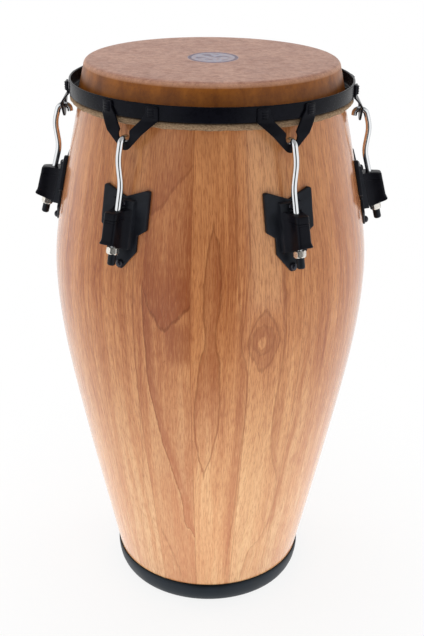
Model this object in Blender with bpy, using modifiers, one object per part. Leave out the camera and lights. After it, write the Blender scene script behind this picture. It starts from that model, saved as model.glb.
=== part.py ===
"""A tumba, the widest drum of the conga family.

A staved wooden shell stands on a rubber ring and carries a skin head. A steel rim floats
round the head, and six chrome hooks pull it down. Each hook hangs in a bracket on the rim
and runs through a block on the shell, where a nut under the block draws it down.
Units are metres, +Z is up, and the origin is on the floor under the middle of the shell.
"""

from math import atan, cos, pi, radians, sin, sqrt, tan

import bmesh
import bpy
from mathutils import Matrix, Vector

# Gap left between two pieces that touch, and the distance under which two points are one
CLEAR = 0.0003
TOUCH = 0.00001
# Flat sides that stand for a full turn, on large rings and on small round pieces
RING_SIDES = 48
SMALL_SIDES = 10
HOLE_SIDES = 10

# Wooden shell: radius and slope (radius gained per height) at five heights
SHELL_TOP_Z = 0.7335
SHELL_TOP_R = 0.1556
SHELL_TOP_SLOPE = -0.235
SHELL_SHOULDER_DROP = 0.1335
SHELL_SHOULDER_R = 0.1853
SHELL_SHOULDER_SLOPE = -0.205
SHELL_BELLY_Z = 0.470
SHELL_BELLY_R = 0.2047
SHELL_WAIST_Z = 0.240
SHELL_WAIST_R = 0.1742
SHELL_WAIST_SLOPE = 0.190
SHELL_FOOT_Z = 0.009
SHELL_FOOT_R = 0.1272
SHELL_FOOT_SLOPE = 0.2045
SHELL_WALL = 0.0115
BEARING_EDGE_R = 0.005
# Straight lengths that stand for the wood's curve from the bearing edge to the foot
SHELL_STEPS = 14

# Rubber ring under the shell
BASE_TOP_Z = 0.031
BASE_LIP = 0.0016
BASE_INNER_STEP = 0.004
BASE_TAPER = 0.0065
BASE_BULGE_TAPER = 0.0018
BASE_FLOOR_ROUND = 0.0025

# Head: the skin, the steel hoop inside its folded edge, and the fold round the hoop
SKIN_T = 0.0022
COLLAR_END_BELOW_RIM = 0.0065
HOOP_WIRE_R = 0.0028
TUCK_SKIN_T = 0.0013
TUCK_HALF_SPAN = 135
TUCK_STEPS = 5

# Rim round the head, with an inward flange that presses on the fold
RIM_TOP_DROP = 0.0224
RIM_H = 0.018
RIM_WALL = 0.0027
RIM_FLANGE_T = 0.0025
RIM_OVERHANG = 0.0007

# Lugs round the shell, the first one left of the front (-Y)
LUG_COUNT = 6
FIRST_LUG_AZIMUTH = radians(-30)
LUG_DROP = 0.1016

# Hook rod: an M8 rolled thread, so the plain rod is 7.1 mm thick
ROD_R = 0.00355
ROD_STANDOFF = 0.0165
ROD_WEDGE = radians(3.0)
HOOK_BEND_RISE = 0.027
HOOK_BEND_R = 0.045
HOOK_REACH = 0.0115
HOOK_SHOULDER_DROP = 0.022
HOOK_TOP_REACH = 0.0052
HOOK_TOP_BEND_R = 0.0075
HOOK_INSIDE = 0.0053
HOOK_END_BEND_R = 0.005
HOOK_END_IN = 0.0010
HOOK_END_DROP = 0.0075
ROD_END_IN_CAP = 0.0105

# V-shaped bracket on the rim
BRACKET_T = 0.0026
BRACKET_PAD_T = 0.0052
BRACKET_PAD_RISE = 0.0035
BRACKET_STANDOFF = 0.0078
BRACKET_BEND_H = 0.0150
BRACKET_HALF_W = 0.0380
BRACKET_ARM_W = 0.0145
BRACKET_ARM_TOP_DROP = 0.0020
BRACKET_CORNER_R = 0.0025
BRACKET_MOUTH_HALF_W = 0.0178
BRACKET_NOTCH_HALF_W = 0.0068
BRACKET_NOTCH_DROP = 0.0122
BRACKET_EYE_R = 0.0078
BRACKET_EYE_DROP = 0.0253
BRACKET_TIP_H = 0.0100
BRACKET_TIP_R = 0.009

# Side plate on the shell, measured from the top of the block, with its thickness at the middle
PLATE_T = 0.0028
PLATE_HALF_W = 0.0318
PLATE_TOP_HALF_W = 0.0270
PLATE_TOP_RISE = 0.0220
PLATE_NOTCH_RISE = 0.0120
PLATE_SHOULDER_DROP = 0.0228
PLATE_SHOULDER_H = 0.0076
PLATE_TAIL_HALF_W = 0.0206
PLATE_TAIL_DROP = 0.0495
PLATE_TIP_DROP = 0.0709
PLATE_CORNER_R = 0.003
PAD_HALF_W = 0.0138
PAD_BACK = 0.0086
PAD_TOP_RISE = 0.0090
PAD_BOTTOM_DROP = 0.0450
PAD_RAMP = 0.0015

# Block that the rod runs through
BLOCK_W = 0.0172
BLOCK_MID_W = 0.0186
BLOCK_BACK_W = 0.0276
BLOCK_FRONT = 0.0155
BLOCK_CORNER_R = 0.0035
BLOCK_H = 0.0430
BLOCK_FLARE = 0.0022
BLOCK_FLARE_H = 0.0100
BLOCK_EDGE_R = 0.0016

# Nut under the block, and the cap on the end of the thread
NUT_ACROSS_FLATS = 0.013
NUT_H = 0.008
CAP_R = 0.0048
CAP_L = 0.0130
CAP_ROUND_R = 0.0025

# Bolts through plate, shell and backing plate
BOLT_R = 0.0030
BOLT_HEAD_R = 0.0046
LOWER_HEAD_H = 0.0046
UPPER_HEAD_R = 0.0038
UPPER_HEAD_H = 0.0028
UPPER_BOLT_RISE = 0.0050
LOWER_BOLT_DROP = 0.0650
BOLT_END = 0.0020
BACKING_T = 0.0025
BACKING_HALF_W = 0.0130
BACKING_MARGIN = 0.0110

# Heights that follow from the sizes above
CROWN_Z = SHELL_TOP_Z + CLEAR + SKIN_T
RIM_TOP_Z = CROWN_Z - RIM_TOP_DROP
RIM_BOTTOM_Z = RIM_TOP_Z - RIM_H
TUCK_R = HOOP_WIRE_R + CLEAR + TUCK_SKIN_T
HOOP_Z = RIM_BOTTOM_Z - CLEAR - TUCK_R
COLLAR_END_Z = RIM_BOTTOM_Z - COLLAR_END_BELOW_RIM
LUG_Z = RIM_BOTTOM_Z - LUG_DROP
UPPER_BOLT_Z = LUG_Z + UPPER_BOLT_RISE
LOWER_BOLT_Z = LUG_Z - LOWER_BOLT_DROP
EYE_Z = RIM_BOTTOM_Z - BRACKET_EYE_DROP
HOOK_TOP_Z = EYE_Z + CLEAR + ROD_R


def shell_radius(z):
    """Outer radius of the wood at a height, on a smooth curve through its five stations."""
    stations = (
        (SHELL_FOOT_Z, SHELL_FOOT_R, SHELL_FOOT_SLOPE),
        (SHELL_WAIST_Z, SHELL_WAIST_R, SHELL_WAIST_SLOPE),
        (SHELL_BELLY_Z, SHELL_BELLY_R, 0.0),
        (SHELL_TOP_Z - SHELL_SHOULDER_DROP, SHELL_SHOULDER_R, SHELL_SHOULDER_SLOPE),
        (SHELL_TOP_Z, SHELL_TOP_R, SHELL_TOP_SLOPE),
    )
    for (z0, r0, slope0), (z1, r1, slope1) in zip(stations, stations[1:]):
        if z <= z1:
            break
    span = z1 - z0
    t = (z - z0) / span
    blend = t * t * (3 - 2 * t)
    pull0 = t * (1 - t) ** 2 * span * slope0
    pull1 = t * t * (t - 1) * span * slope1
    return r0 * (1 - blend) + r1 * blend + pull0 + pull1


def shell_lean(z):
    """Angle by which the wood leans outwards going down."""
    step = 0.0005
    return atan((shell_radius(z - step) - shell_radius(z + step)) / (2 * step))


def wood_heights():
    """Heights of the rings of corners that the wood is modelled with, from the top down."""
    top = SHELL_TOP_Z - BEARING_EDGE_R
    return [top + (SHELL_FOOT_Z - top) * i / SHELL_STEPS for i in range(SHELL_STEPS + 1)]


def wood_radius(z):
    """Outer radius of the modelled wood, which is straight between its rings of corners."""
    heights = wood_heights()
    for upper, lower in zip(heights, heights[1:]):
        if z >= lower:
            break
    share = (upper - z) / (upper - lower)
    return shell_radius(upper) * (1 - share) + shell_radius(lower) * share


def wood_inner_radius(z):
    return wood_radius(z) - SHELL_WALL


def collar_radius(z):
    """Outer radius of the skin where it lies on the wood."""
    return wood_radius(z) + CLEAR + SKIN_T


HOOP_RING_R = collar_radius(HOOP_Z) + CLEAR + TUCK_R
RIM_R = HOOP_RING_R + TUCK_R + RIM_OVERHANG
BRACKET_FOOT_R = RIM_R + CLEAR
BRACKET_FACE_R = BRACKET_FOOT_R + BRACKET_STANDOFF
ROD_LEAN = shell_lean(LUG_Z - BLOCK_H / 2) + ROD_WEDGE
ROD_TOP_R = shell_radius(LUG_Z) + ROD_STANDOFF


def pad_plane_radius(z):
    """Distance from the drum's axis to the pad's flat face, which lies along the rod."""
    return ROD_TOP_R + (LUG_Z - z) * tan(ROD_LEAN) - PAD_BACK / cos(ROD_LEAN)


def clear_scene():
    for obj in list(bpy.data.objects):
        bpy.data.objects.remove(obj, do_unlink=True)


def new_collection(name):
    collection = bpy.data.collections.new(name)
    bpy.context.scene.collection.children.link(collection)
    return collection


def material(name, colour, roughness, metallic=0.0):
    made = bpy.data.materials.new(name)
    made.use_nodes = True
    shader = made.node_tree.nodes["Principled BSDF"]
    shader.inputs["Base Color"].default_value = (*colour, 1.0)
    shader.inputs["Roughness"].default_value = roughness
    shader.inputs["Metallic"].default_value = metallic
    return made


def place(name, data, collection, parent=None, finish=None):
    """A new object in its collection, under its parent."""
    obj = bpy.data.objects.new(name, data)
    collection.objects.link(obj)
    obj.parent = parent
    if finish is not None and not data.materials:
        data.materials.append(finish)
    return obj


def smooth(mesh, angle=35):
    mesh.shade_smooth()
    mesh.set_sharp_from_angle(angle=radians(angle))


def arc(centre_x, centre_z, radius, start, end, steps):
    """Points on an arc, angles in degrees from +X towards +Z."""
    angles = [radians(start + (end - start) * i / steps) for i in range(steps + 1)]
    return [(centre_x + radius * cos(a), centre_z + radius * sin(a)) for a in angles]


def filleted(corners, radii, steps):
    """The path through these corners with each inner one rounded by an arc."""
    path = [Vector(corners[0])]
    for before, corner, after, radius, count in zip(corners, corners[1:], corners[2:], radii, steps):
        corner = Vector(corner)
        into = (corner - Vector(before)).normalized()
        out = (Vector(after) - corner).normalized()
        turn = into.angle(out)
        start = corner - into * radius * tan(turn / 2)
        middle = corner + (out - into).normalized() * (radius / cos(turn / 2))
        side = 1 if into.cross(out) > 0 else -1
        for i in range(count + 1):
            path.append(middle + Matrix.Rotation(side * turn * i / count, 2) @ (start - middle))
    path.append(Vector(corners[-1]))
    return path


def rounded_outline(corners, radius, steps):
    """A closed outline with every corner rounded."""
    count = len(corners)
    points = []
    for i in range(count):
        near = [corners[(i + k) % count] for k in (-1, 0, 1)]
        before = tuple((a + b) / 2 for a, b in zip(near[0], near[1]))
        after = tuple((a + b) / 2 for a, b in zip(near[1], near[2]))
        points += filleted([before, near[1], after], [radius], [steps])[1:-1]
    return points


def mirrored(half):
    """A closed outline from its right half, which starts and ends on the middle line."""
    return half + [(-x, y) for x, y in reversed(half) if abs(x) > TOUCH]


def turned(name, profile, sides, ring):
    """A mesh for a profile in the XZ plane, and the Screw modifier that turns it later.

    A ring's profile is closed, and any other one starts and ends on the axis.
    """
    mesh = bpy.data.meshes.new(name)
    count = len(profile)
    edges = [(i, (i + 1) % count) for i in range(count if ring else count - 1)]
    mesh.from_pydata([(x, 0.0, z) for x, z in profile], edges, [])

    def spin(obj):
        screw = obj.modifiers.new("turn", "SCREW")
        screw.axis = "Z"
        screw.steps = screw.render_steps = sides
        screw.use_merge_vertices = True
        screw.merge_threshold = TOUCH
        screw.use_smooth_shade = True

    return mesh, spin


def turned_object(name, profile, collection, finish, parent=None, sides=RING_SIDES, ring=True):
    mesh, spin = turned(name, profile, sides, ring)
    obj = place(name, mesh, collection, parent, finish)
    spin(obj)
    return obj


def mesh_of(obj):
    """The object's evaluated shape as a mesh of its own, with its seams joined."""
    bpy.context.view_layer.update()
    mesh = bpy.data.meshes.new_from_object(obj.evaluated_get(bpy.context.evaluated_depsgraph_get()))
    shape = bmesh.new()
    shape.from_mesh(mesh)
    bmesh.ops.remove_doubles(shape, verts=shape.verts, dist=TOUCH)
    bmesh.ops.recalc_face_normals(shape, faces=shape.faces)
    shape.to_mesh(mesh)
    shape.free()
    return mesh


def outline_mesh(name, loops, thickness, cuts_x=(), cuts_y=(), cuts_z=()):
    """A flat plate from closed outlines, cut across at some X, Y and Z so that it can bend."""
    curve = bpy.data.curves.new(name, "CURVE")
    curve.dimensions = "2D"
    curve.fill_mode = "BOTH"
    curve.extrude = thickness / 2
    for loop in loops:
        spline = curve.splines.new("POLY")
        spline.points.add(len(loop) - 1)
        for point, (x, y) in zip(spline.points, loop):
            point.co = (x, y, 0, 1)
        spline.use_cyclic_u = True
    carrier = bpy.data.objects.new(name, curve)
    bpy.context.scene.collection.objects.link(carrier)
    mesh = mesh_of(carrier)
    bpy.data.objects.remove(carrier)
    bpy.data.curves.remove(curve)
    shape = bmesh.new()
    shape.from_mesh(mesh)
    cuts = [((x, 0, 0), (1, 0, 0)) for x in cuts_x]
    cuts += [((0, y, 0), (0, 1, 0)) for y in cuts_y]
    cuts += [((0, 0, z), (0, 0, 1)) for z in cuts_z]
    for point, normal in cuts:
        everything = shape.verts[:] + shape.edges[:] + shape.faces[:]
        bmesh.ops.bisect_plane(shape, geom=everything, plane_co=point, plane_no=normal, dist=TOUCH)
    shape.to_mesh(mesh)
    shape.free()
    mesh.name = name
    return mesh


def bend(mesh, place_point):
    """Moves each point of a flat plate to where the plate lies, and faces its surface out."""
    for vertex in mesh.vertices:
        vertex.co = place_point(vertex.co.x, vertex.co.y, vertex.co.z > 0)
    shape = bmesh.new()
    shape.from_mesh(mesh)
    bmesh.ops.recalc_face_normals(shape, faces=shape.faces)
    shape.to_mesh(mesh)
    shape.free()
    smooth(mesh)


def cylinder_mesh(name, radius, bottom, top, sides=HOLE_SIDES):
    """A closed cylinder whose flats, not corners, reach the radius."""
    mesh = bpy.data.meshes.new(name)
    shape = bmesh.new()
    corner_r = radius / cos(pi / sides)
    made = bmesh.ops.create_cone(
        shape, cap_ends=True, segments=sides, radius1=corner_r, radius2=corner_r, depth=top - bottom
    )
    bmesh.ops.translate(shape, verts=made["verts"], vec=(0, 0, (top + bottom) / 2))
    shape.to_mesh(mesh)
    shape.free()
    return mesh


def cut(obj, cutter):
    boolean = obj.modifiers.new("cut", "BOOLEAN")
    boolean.operation = "DIFFERENCE"
    boolean.object = cutter


def shell_profile():
    """Wall section: down the outside, in under the foot, up the inside, over the bearing edge."""
    heights = wood_heights()
    outside = [(wood_radius(z), z) for z in heights]
    inside = [(wood_inner_radius(z), z) for z in reversed(heights)]
    edge_r = wood_radius(SHELL_TOP_Z - BEARING_EDGE_R) - BEARING_EDGE_R
    edge = arc(edge_r, SHELL_TOP_Z - BEARING_EDGE_R, BEARING_EDGE_R, 90, 0, 2)[:-1]
    return edge + outside + inside


def make_shell(parts, finish, bolt_holes):
    shell = turned_object("shell", shell_profile(), parts, finish)
    cut(shell, bolt_holes)
    return shell


def make_base_ring(parts, finish):
    """Rubber ring: a lip up the outside of the foot and a floor under it."""
    lip_r = wood_radius(BASE_TOP_Z) + CLEAR
    pocket_z = SHELL_FOOT_Z - CLEAR
    inner_r = wood_inner_radius(SHELL_FOOT_Z) - BASE_INNER_STEP
    floor_r = lip_r + BASE_LIP - BASE_TAPER
    bulge_z = BASE_TOP_Z / 2
    bulge_r = lip_r + BASE_LIP - BASE_BULGE_TAPER
    profile = [
        (lip_r, BASE_TOP_Z),
        (lip_r + BASE_LIP, BASE_TOP_Z - BASE_LIP / 2),
        (bulge_r, bulge_z),
        (floor_r, BASE_FLOOR_ROUND),
        (floor_r - BASE_FLOOR_ROUND, 0.0),
        (inner_r + CLEAR, 0.0),
        (inner_r, BASE_FLOOR_ROUND),
        (inner_r, pocket_z),
        (wood_radius(pocket_z) + CLEAR, pocket_z),
    ]
    return turned_object("base_ring", profile, parts, finish)


def make_head_skin(parts, finish):
    """Playing surface and collar in one skin, laid over the bearing edge and down the wood."""
    edge_z = SHELL_TOP_Z - BEARING_EDGE_R
    edge_r = wood_radius(edge_z) - BEARING_EDGE_R
    outer_round = BEARING_EDGE_R + CLEAR + SKIN_T
    inner_round = BEARING_EDGE_R + CLEAR
    heights = [z for z in wood_heights() if COLLAR_END_Z < z < edge_z - TOUCH] + [COLLAR_END_Z]
    outer = [(0.0, CROWN_Z)] + arc(edge_r, edge_z, outer_round, 90, 0, 3)
    outer += [(collar_radius(z), z) for z in heights]
    inner = [(wood_radius(z) + CLEAR, z) for z in reversed(heights)]
    inner += arc(edge_r, edge_z, inner_round, 0, 90, 2) + [(0.0, CROWN_Z - SKIN_T)]
    return turned_object("head_skin", outer + inner, parts, finish, ring=False)


def make_flesh_hoop(parts, finish, parent):
    section = arc(HOOP_RING_R, HOOP_Z, HOOP_WIRE_R, 180, -180, 6)[:-1]
    return turned_object("flesh_hoop", section, parts, finish, parent)


def make_skin_tuck(parts, finish, parent):
    """The skin's edge folded round the hoop, open towards the shell where the collar comes in."""
    half_step = radians(TUCK_HALF_SPAN / TUCK_STEPS)
    inner_r = (HOOP_WIRE_R + CLEAR) / cos(half_step)
    section = arc(HOOP_RING_R, HOOP_Z, TUCK_R, TUCK_HALF_SPAN, -TUCK_HALF_SPAN, TUCK_STEPS)
    section += arc(HOOP_RING_R, HOOP_Z, inner_r, -TUCK_HALF_SPAN, TUCK_HALF_SPAN, TUCK_STEPS)
    return turned_object("skin_tuck", section, parts, finish, parent)


def make_rim(parts, finish, parent):
    """A flat steel band with a rounded top edge and a flange turned in at the bottom."""
    inner_r = RIM_R - RIM_WALL
    flange_z = RIM_BOTTOM_Z + RIM_FLANGE_T
    flange_r = collar_radius(COLLAR_END_Z) + CLEAR
    bead = RIM_WALL / 2
    profile = arc(RIM_R - bead, RIM_TOP_Z - bead, bead, 180, 0, 3)
    profile += [(RIM_R, RIM_BOTTOM_Z), (flange_r, RIM_BOTTOM_Z)]
    profile += [(flange_r, flange_z), (inner_r, flange_z)]
    return turned_object("rim", profile, parts, finish, parent)


def bracket_outline():
    """Right half of the V: down the inside of the arm, round the eye, and back by the outside."""
    arm_top = RIM_TOP_Z - BRACKET_ARM_TOP_DROP
    arm_in = BRACKET_HALF_W - BRACKET_ARM_W
    corner = BRACKET_CORNER_R
    notch_z = RIM_BOTTOM_Z - BRACKET_NOTCH_DROP
    eye_centre_z = EYE_Z + BRACKET_EYE_R
    eye = arc(0.0, eye_centre_z, BRACKET_EYE_R, -90, 20, 4)
    tip_z = EYE_Z - BRACKET_TIP_H
    tip = arc(0.0, tip_z + BRACKET_TIP_R, BRACKET_TIP_R, -45, -90, 2)
    inside = eye + [
        (BRACKET_NOTCH_HALF_W, notch_z),
        (BRACKET_MOUTH_HALF_W, RIM_BOTTOM_Z),
        (arm_in, RIM_BOTTOM_Z + RIM_H / 2),
        (arm_in, arm_top - corner),
        (arm_in + corner, arm_top),
    ]
    outside = [
        (BRACKET_HALF_W - corner, arm_top),
        (BRACKET_HALF_W, arm_top - corner),
        (BRACKET_HALF_W, RIM_BOTTOM_Z + CLEAR),
    ]
    return mirrored(inside + outside + tip)


def bracket_mesh():
    """The V plate: its arms follow the rim, and below them it leans out to the flat eye."""
    bend_top = RIM_BOTTOM_Z
    bend_bottom = RIM_BOTTOM_Z - BRACKET_BEND_H
    pad_end = RIM_BOTTOM_Z + BRACKET_PAD_RISE

    def place_point(x, z, outer):
        share = min(max((bend_top - z) / (bend_top - bend_bottom), 0.0), 1.0)
        on_rim = sqrt(BRACKET_FOOT_R ** 2 - x ** 2)
        back = on_rim * (1 - share) + BRACKET_FACE_R * share
        if outer:
            back += BRACKET_PAD_T if z > pad_end + TOUCH else BRACKET_T
        return x, -back, z

    cuts_x = [BRACKET_HALF_W * k / 3 for k in (-2, -1, 0, 1, 2)]
    cuts_y = (bend_bottom, bend_top, pad_end, pad_end + BRACKET_PAD_T - BRACKET_T)
    mesh = outline_mesh("hook_bracket", [bracket_outline()], BRACKET_T, cuts_x, cuts_y)
    bend(mesh, place_point)
    return mesh


def plate_outline():
    """Side plate seen from the front: notched top, winged upper half, pointed tail."""
    top = LUG_Z + PLATE_TOP_RISE
    shoulder = LUG_Z - PLATE_SHOULDER_DROP
    tail = LUG_Z - PLATE_TAIL_DROP
    tip = LUG_Z - PLATE_TIP_DROP
    half = [
        (PLATE_TOP_HALF_W, top),
        (PLATE_HALF_W, top - CLEAR),
        (PLATE_HALF_W, shoulder),
        (PLATE_TAIL_HALF_W, shoulder - PLATE_SHOULDER_H),
        (PLATE_TAIL_HALF_W, tail),
        (PLATE_CORNER_R, tip),
    ]
    corners = [(0.0, LUG_Z + PLATE_NOTCH_RISE)] + half + [(-x, z) for x, z in reversed(half)]
    return rounded_outline(corners, PLATE_CORNER_R, 1)


def side_plate_mesh():
    """A cast plate, hollowed to the wood behind and flat across in front, with a pad for the block."""
    pad_top = LUG_Z + PAD_TOP_RISE
    pad_bottom = LUG_Z - PAD_BOTTOM_DROP
    ramp_end = PAD_HALF_W + PAD_RAMP
    wing_middle = (ramp_end + PLATE_HALF_W) / 2

    def place_point(x, z, outer):
        radius = wood_radius(z) + CLEAR
        if not outer:
            return x, -sqrt(radius ** 2 - x ** 2), z
        if abs(x) < PAD_HALF_W + TOUCH and pad_bottom - TOUCH < z < pad_top + TOUCH:
            return x, -pad_plane_radius(z), z
        return x, -radius - PLATE_T, z

    cuts_x = [side * w for side in (-1, 1) for w in (PAD_HALF_W, ramp_end, wing_middle)] + [0.0]
    cuts_y = [pad_bottom, pad_bottom - PAD_RAMP, pad_top, pad_top + PAD_RAMP]
    cuts_y += [z for z in wood_heights() if LUG_Z - PLATE_TIP_DROP < z < LUG_Z + PLATE_TOP_RISE]
    mesh = outline_mesh("side_plate", [plate_outline()], PLATE_T, cuts_x, cuts_y)
    bend(mesh, place_point)
    return mesh


def backing_mesh():
    """A steel strip inside the shell that the bolts screw into."""
    top = UPPER_BOLT_Z + BACKING_MARGIN
    bottom = LOWER_BOLT_Z - BACKING_MARGIN
    outline = [(side * BACKING_HALF_W, z) for side, z in ((1, top), (1, bottom), (-1, bottom), (-1, top))]

    def place_point(x, z, outer):
        radius = wood_inner_radius(z) * cos(pi / RING_SIDES) - CLEAR
        angle = x / radius
        if not outer:
            radius -= BACKING_T
        return radius * sin(angle), -radius * cos(angle), z

    cuts_y = [z for z in wood_heights() if bottom < z < top]
    mesh = outline_mesh("backing_plate", [outline], BACKING_T, (0.0,), cuts_y)
    bend(mesh, place_point)
    return mesh


def hook_mesh():
    """The bent rod in the lug's upright plane, with its straight part along the block's bore."""
    foot = BLOCK_H + CLEAR + NUT_H + CLEAR + ROD_END_IN_CAP
    bend_z = LUG_Z + HOOK_BEND_RISE
    face_r = BRACKET_FACE_R + BRACKET_T
    inside_r = BRACKET_FACE_R - HOOK_INSIDE
    corners = [
        (ROD_TOP_R + foot * sin(ROD_LEAN), LUG_Z - foot * cos(ROD_LEAN)),
        (ROD_TOP_R - HOOK_BEND_RISE * tan(ROD_LEAN), bend_z),
        (face_r + HOOK_REACH, HOOK_TOP_Z - HOOK_SHOULDER_DROP),
        (face_r + HOOK_TOP_REACH, HOOK_TOP_Z),
        (inside_r, HOOK_TOP_Z),
        (inside_r - HOOK_END_IN, HOOK_TOP_Z - HOOK_END_DROP),
    ]
    radii = (HOOK_BEND_R, HOOK_BEND_R, HOOK_TOP_BEND_R, HOOK_END_BEND_R)
    path = filleted(corners, radii, (3, 3, 5, 3))
    curve = bpy.data.curves.new("tuning_hook", "CURVE")
    curve.dimensions = "3D"
    curve.bevel_depth = ROD_R
    curve.bevel_resolution = 2
    curve.use_fill_caps = True
    spline = curve.splines.new("POLY")
    spline.points.add(len(path) - 1)
    for point, (radius, z) in zip(spline.points, path):
        point.co = (0.0, -(radius - ROD_TOP_R), z - LUG_Z, 1.0)
    carrier = bpy.data.objects.new("tuning_hook", curve)
    bpy.context.scene.collection.objects.link(carrier)
    mesh = mesh_of(carrier)
    bpy.data.objects.remove(carrier)
    bpy.data.curves.remove(curve)
    smooth(mesh, 50)
    mesh.name = "tuning_hook"
    return mesh


def block_outline():
    """Block seen along the rod: rounded front corners, and sides that widen towards its back."""
    back = PAD_BACK - CLEAR
    corner = arc(BLOCK_W / 2 - BLOCK_CORNER_R, BLOCK_CORNER_R - BLOCK_FRONT, BLOCK_CORNER_R, -90, 0, 3)
    sides = [(BLOCK_MID_W / 2, 0.0), (BLOCK_BACK_W / 2, back - BLOCK_EDGE_R), (BLOCK_BACK_W / 2, back)]
    return mirrored([(0.0, -BLOCK_FRONT)] + corner + sides + [(0.0, back)])


def block_mesh():
    """Block in the rod's own frame: level top, foot that flares to the front and the sides."""
    back = PAD_BACK - CLEAR
    flare_top = BLOCK_FLARE_H - BLOCK_H / 2
    mesh = outline_mesh("lug_block", [block_outline()], BLOCK_H, cuts_z=(flare_top,))
    for vertex in mesh.vertices:
        x, y, z = vertex.co
        ahead = (back - y) / (back + BLOCK_FRONT)
        if z > BLOCK_H / 2 - TOUCH:
            z += y * tan(ROD_LEAN)
        elif z < TOUCH - BLOCK_H / 2:
            x *= 1 + ahead * BLOCK_FLARE / (BLOCK_W / 2)
            y -= ahead * BLOCK_FLARE
        vertex.co = (x, y, z - BLOCK_H / 2)
    shape = bmesh.new()
    shape.from_mesh(mesh)
    bmesh.ops.recalc_face_normals(shape, faces=shape.faces)
    bmesh.ops.dissolve_limit(shape, angle_limit=radians(1), verts=shape.verts, edges=shape.edges)
    shape.to_mesh(mesh)
    shape.free()
    return mesh


def nut_mesh():
    """Hexagon with a bore, its top face at the origin's height."""
    corner = NUT_ACROSS_FLATS / 2 / cos(pi / 6)
    bore = (ROD_R + CLEAR) / cos(pi / HOLE_SIDES)
    hexagon = arc(0.0, 0.0, corner, 0, 360, 6)[:-1]
    hole = arc(0.0, 0.0, bore, 0, 360, HOLE_SIDES)[:-1]
    mesh = outline_mesh("hook_nut", [hexagon, hole], NUT_H)
    for vertex in mesh.vertices:
        vertex.co.z -= NUT_H / 2
    smooth(mesh)
    return mesh


def cap_profile():
    """Rubber thimble over the end of the thread, its rim at height 0."""
    bore = (ROD_R + CLEAR) / cos(pi / SMALL_SIDES)
    depth = ROD_END_IN_CAP + CLEAR
    bottom = arc(CAP_R - CAP_ROUND_R, -CAP_L + CAP_ROUND_R, CAP_ROUND_R, 0, -90, 2)
    return [(0.0, -depth), (bore, -depth), (bore, 0.0), (CAP_R, 0.0)] + bottom + [(0.0, -CAP_L)]


def bolt_profile(head_r, head_h, shank_l):
    """Domed head above height 0 and a plain shank below it."""
    dome = [(head_r * cos(radians(a)), head_h * sin(radians(a))) for a in (60, 25, 0)]
    return [(0.0, head_h)] + dome + [(BOLT_R, 0.0), (BOLT_R, -shank_l), (0.0, -shank_l)]


def upper_bolt():
    """Radius at the seat, lean of the bolt and shank length, for the bolt above the block."""
    seat = pad_plane_radius(UPPER_BOLT_Z) + CLEAR
    through = seat - wood_inner_radius(UPPER_BOLT_Z) + CLEAR + BACKING_T
    return seat, ROD_LEAN, through / cos(ROD_LEAN) + BOLT_END


def lower_bolt():
    """The same for the bolt at the plate's tip."""
    lean = shell_lean(LOWER_BOLT_Z)
    seat = wood_radius(LOWER_BOLT_Z) + CLEAR + PLATE_T + CLEAR
    through = seat - wood_inner_radius(LOWER_BOLT_Z) + CLEAR + BACKING_T
    return seat, lean, through / cos(lean) + BOLT_END


def azimuth(index):
    return FIRST_LUG_AZIMUTH + 2 * pi * index / LUG_COUNT


def make_bolt_holes(cutters):
    """One cutter with every bolt hole, through plates and wall."""
    shape = bmesh.new()
    for index in range(LUG_COUNT):
        for z, (seat, lean, length) in ((UPPER_BOLT_Z, upper_bolt()), (LOWER_BOLT_Z, lower_bolt())):
            drill = cylinder_mesh("drill", BOLT_R + CLEAR, -length - BOLT_END, BOLT_HEAD_R)
            start = len(shape.verts)
            shape.from_mesh(drill)
            bpy.data.meshes.remove(drill)
            shape.verts.ensure_lookup_table()
            for vertex in shape.verts[start:]:
                x, y, along = vertex.co
                radius = seat + along * cos(lean) - y * sin(lean)
                height = z + along * sin(lean) + y * cos(lean)
                turn = azimuth(index)
                point = Vector((x, -radius, height))
                vertex.co = (
                    point.x * cos(turn) - point.y * sin(turn),
                    point.x * sin(turn) + point.y * cos(turn),
                    point.z,
                )
    mesh = bpy.data.meshes.new("bolt_holes")
    shape.to_mesh(mesh)
    shape.free()
    holes = place("bolt_holes", mesh, cutters)
    holes.hide_render = True
    holes.display_type = "WIRE"
    return holes


def frame_empty(name, parts, parent=None, location=(0, 0, 0), rotation=(0, 0, 0)):
    empty = place(name, None, parts, parent)
    empty.location = location
    empty.rotation_euler = rotation
    return empty


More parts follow.
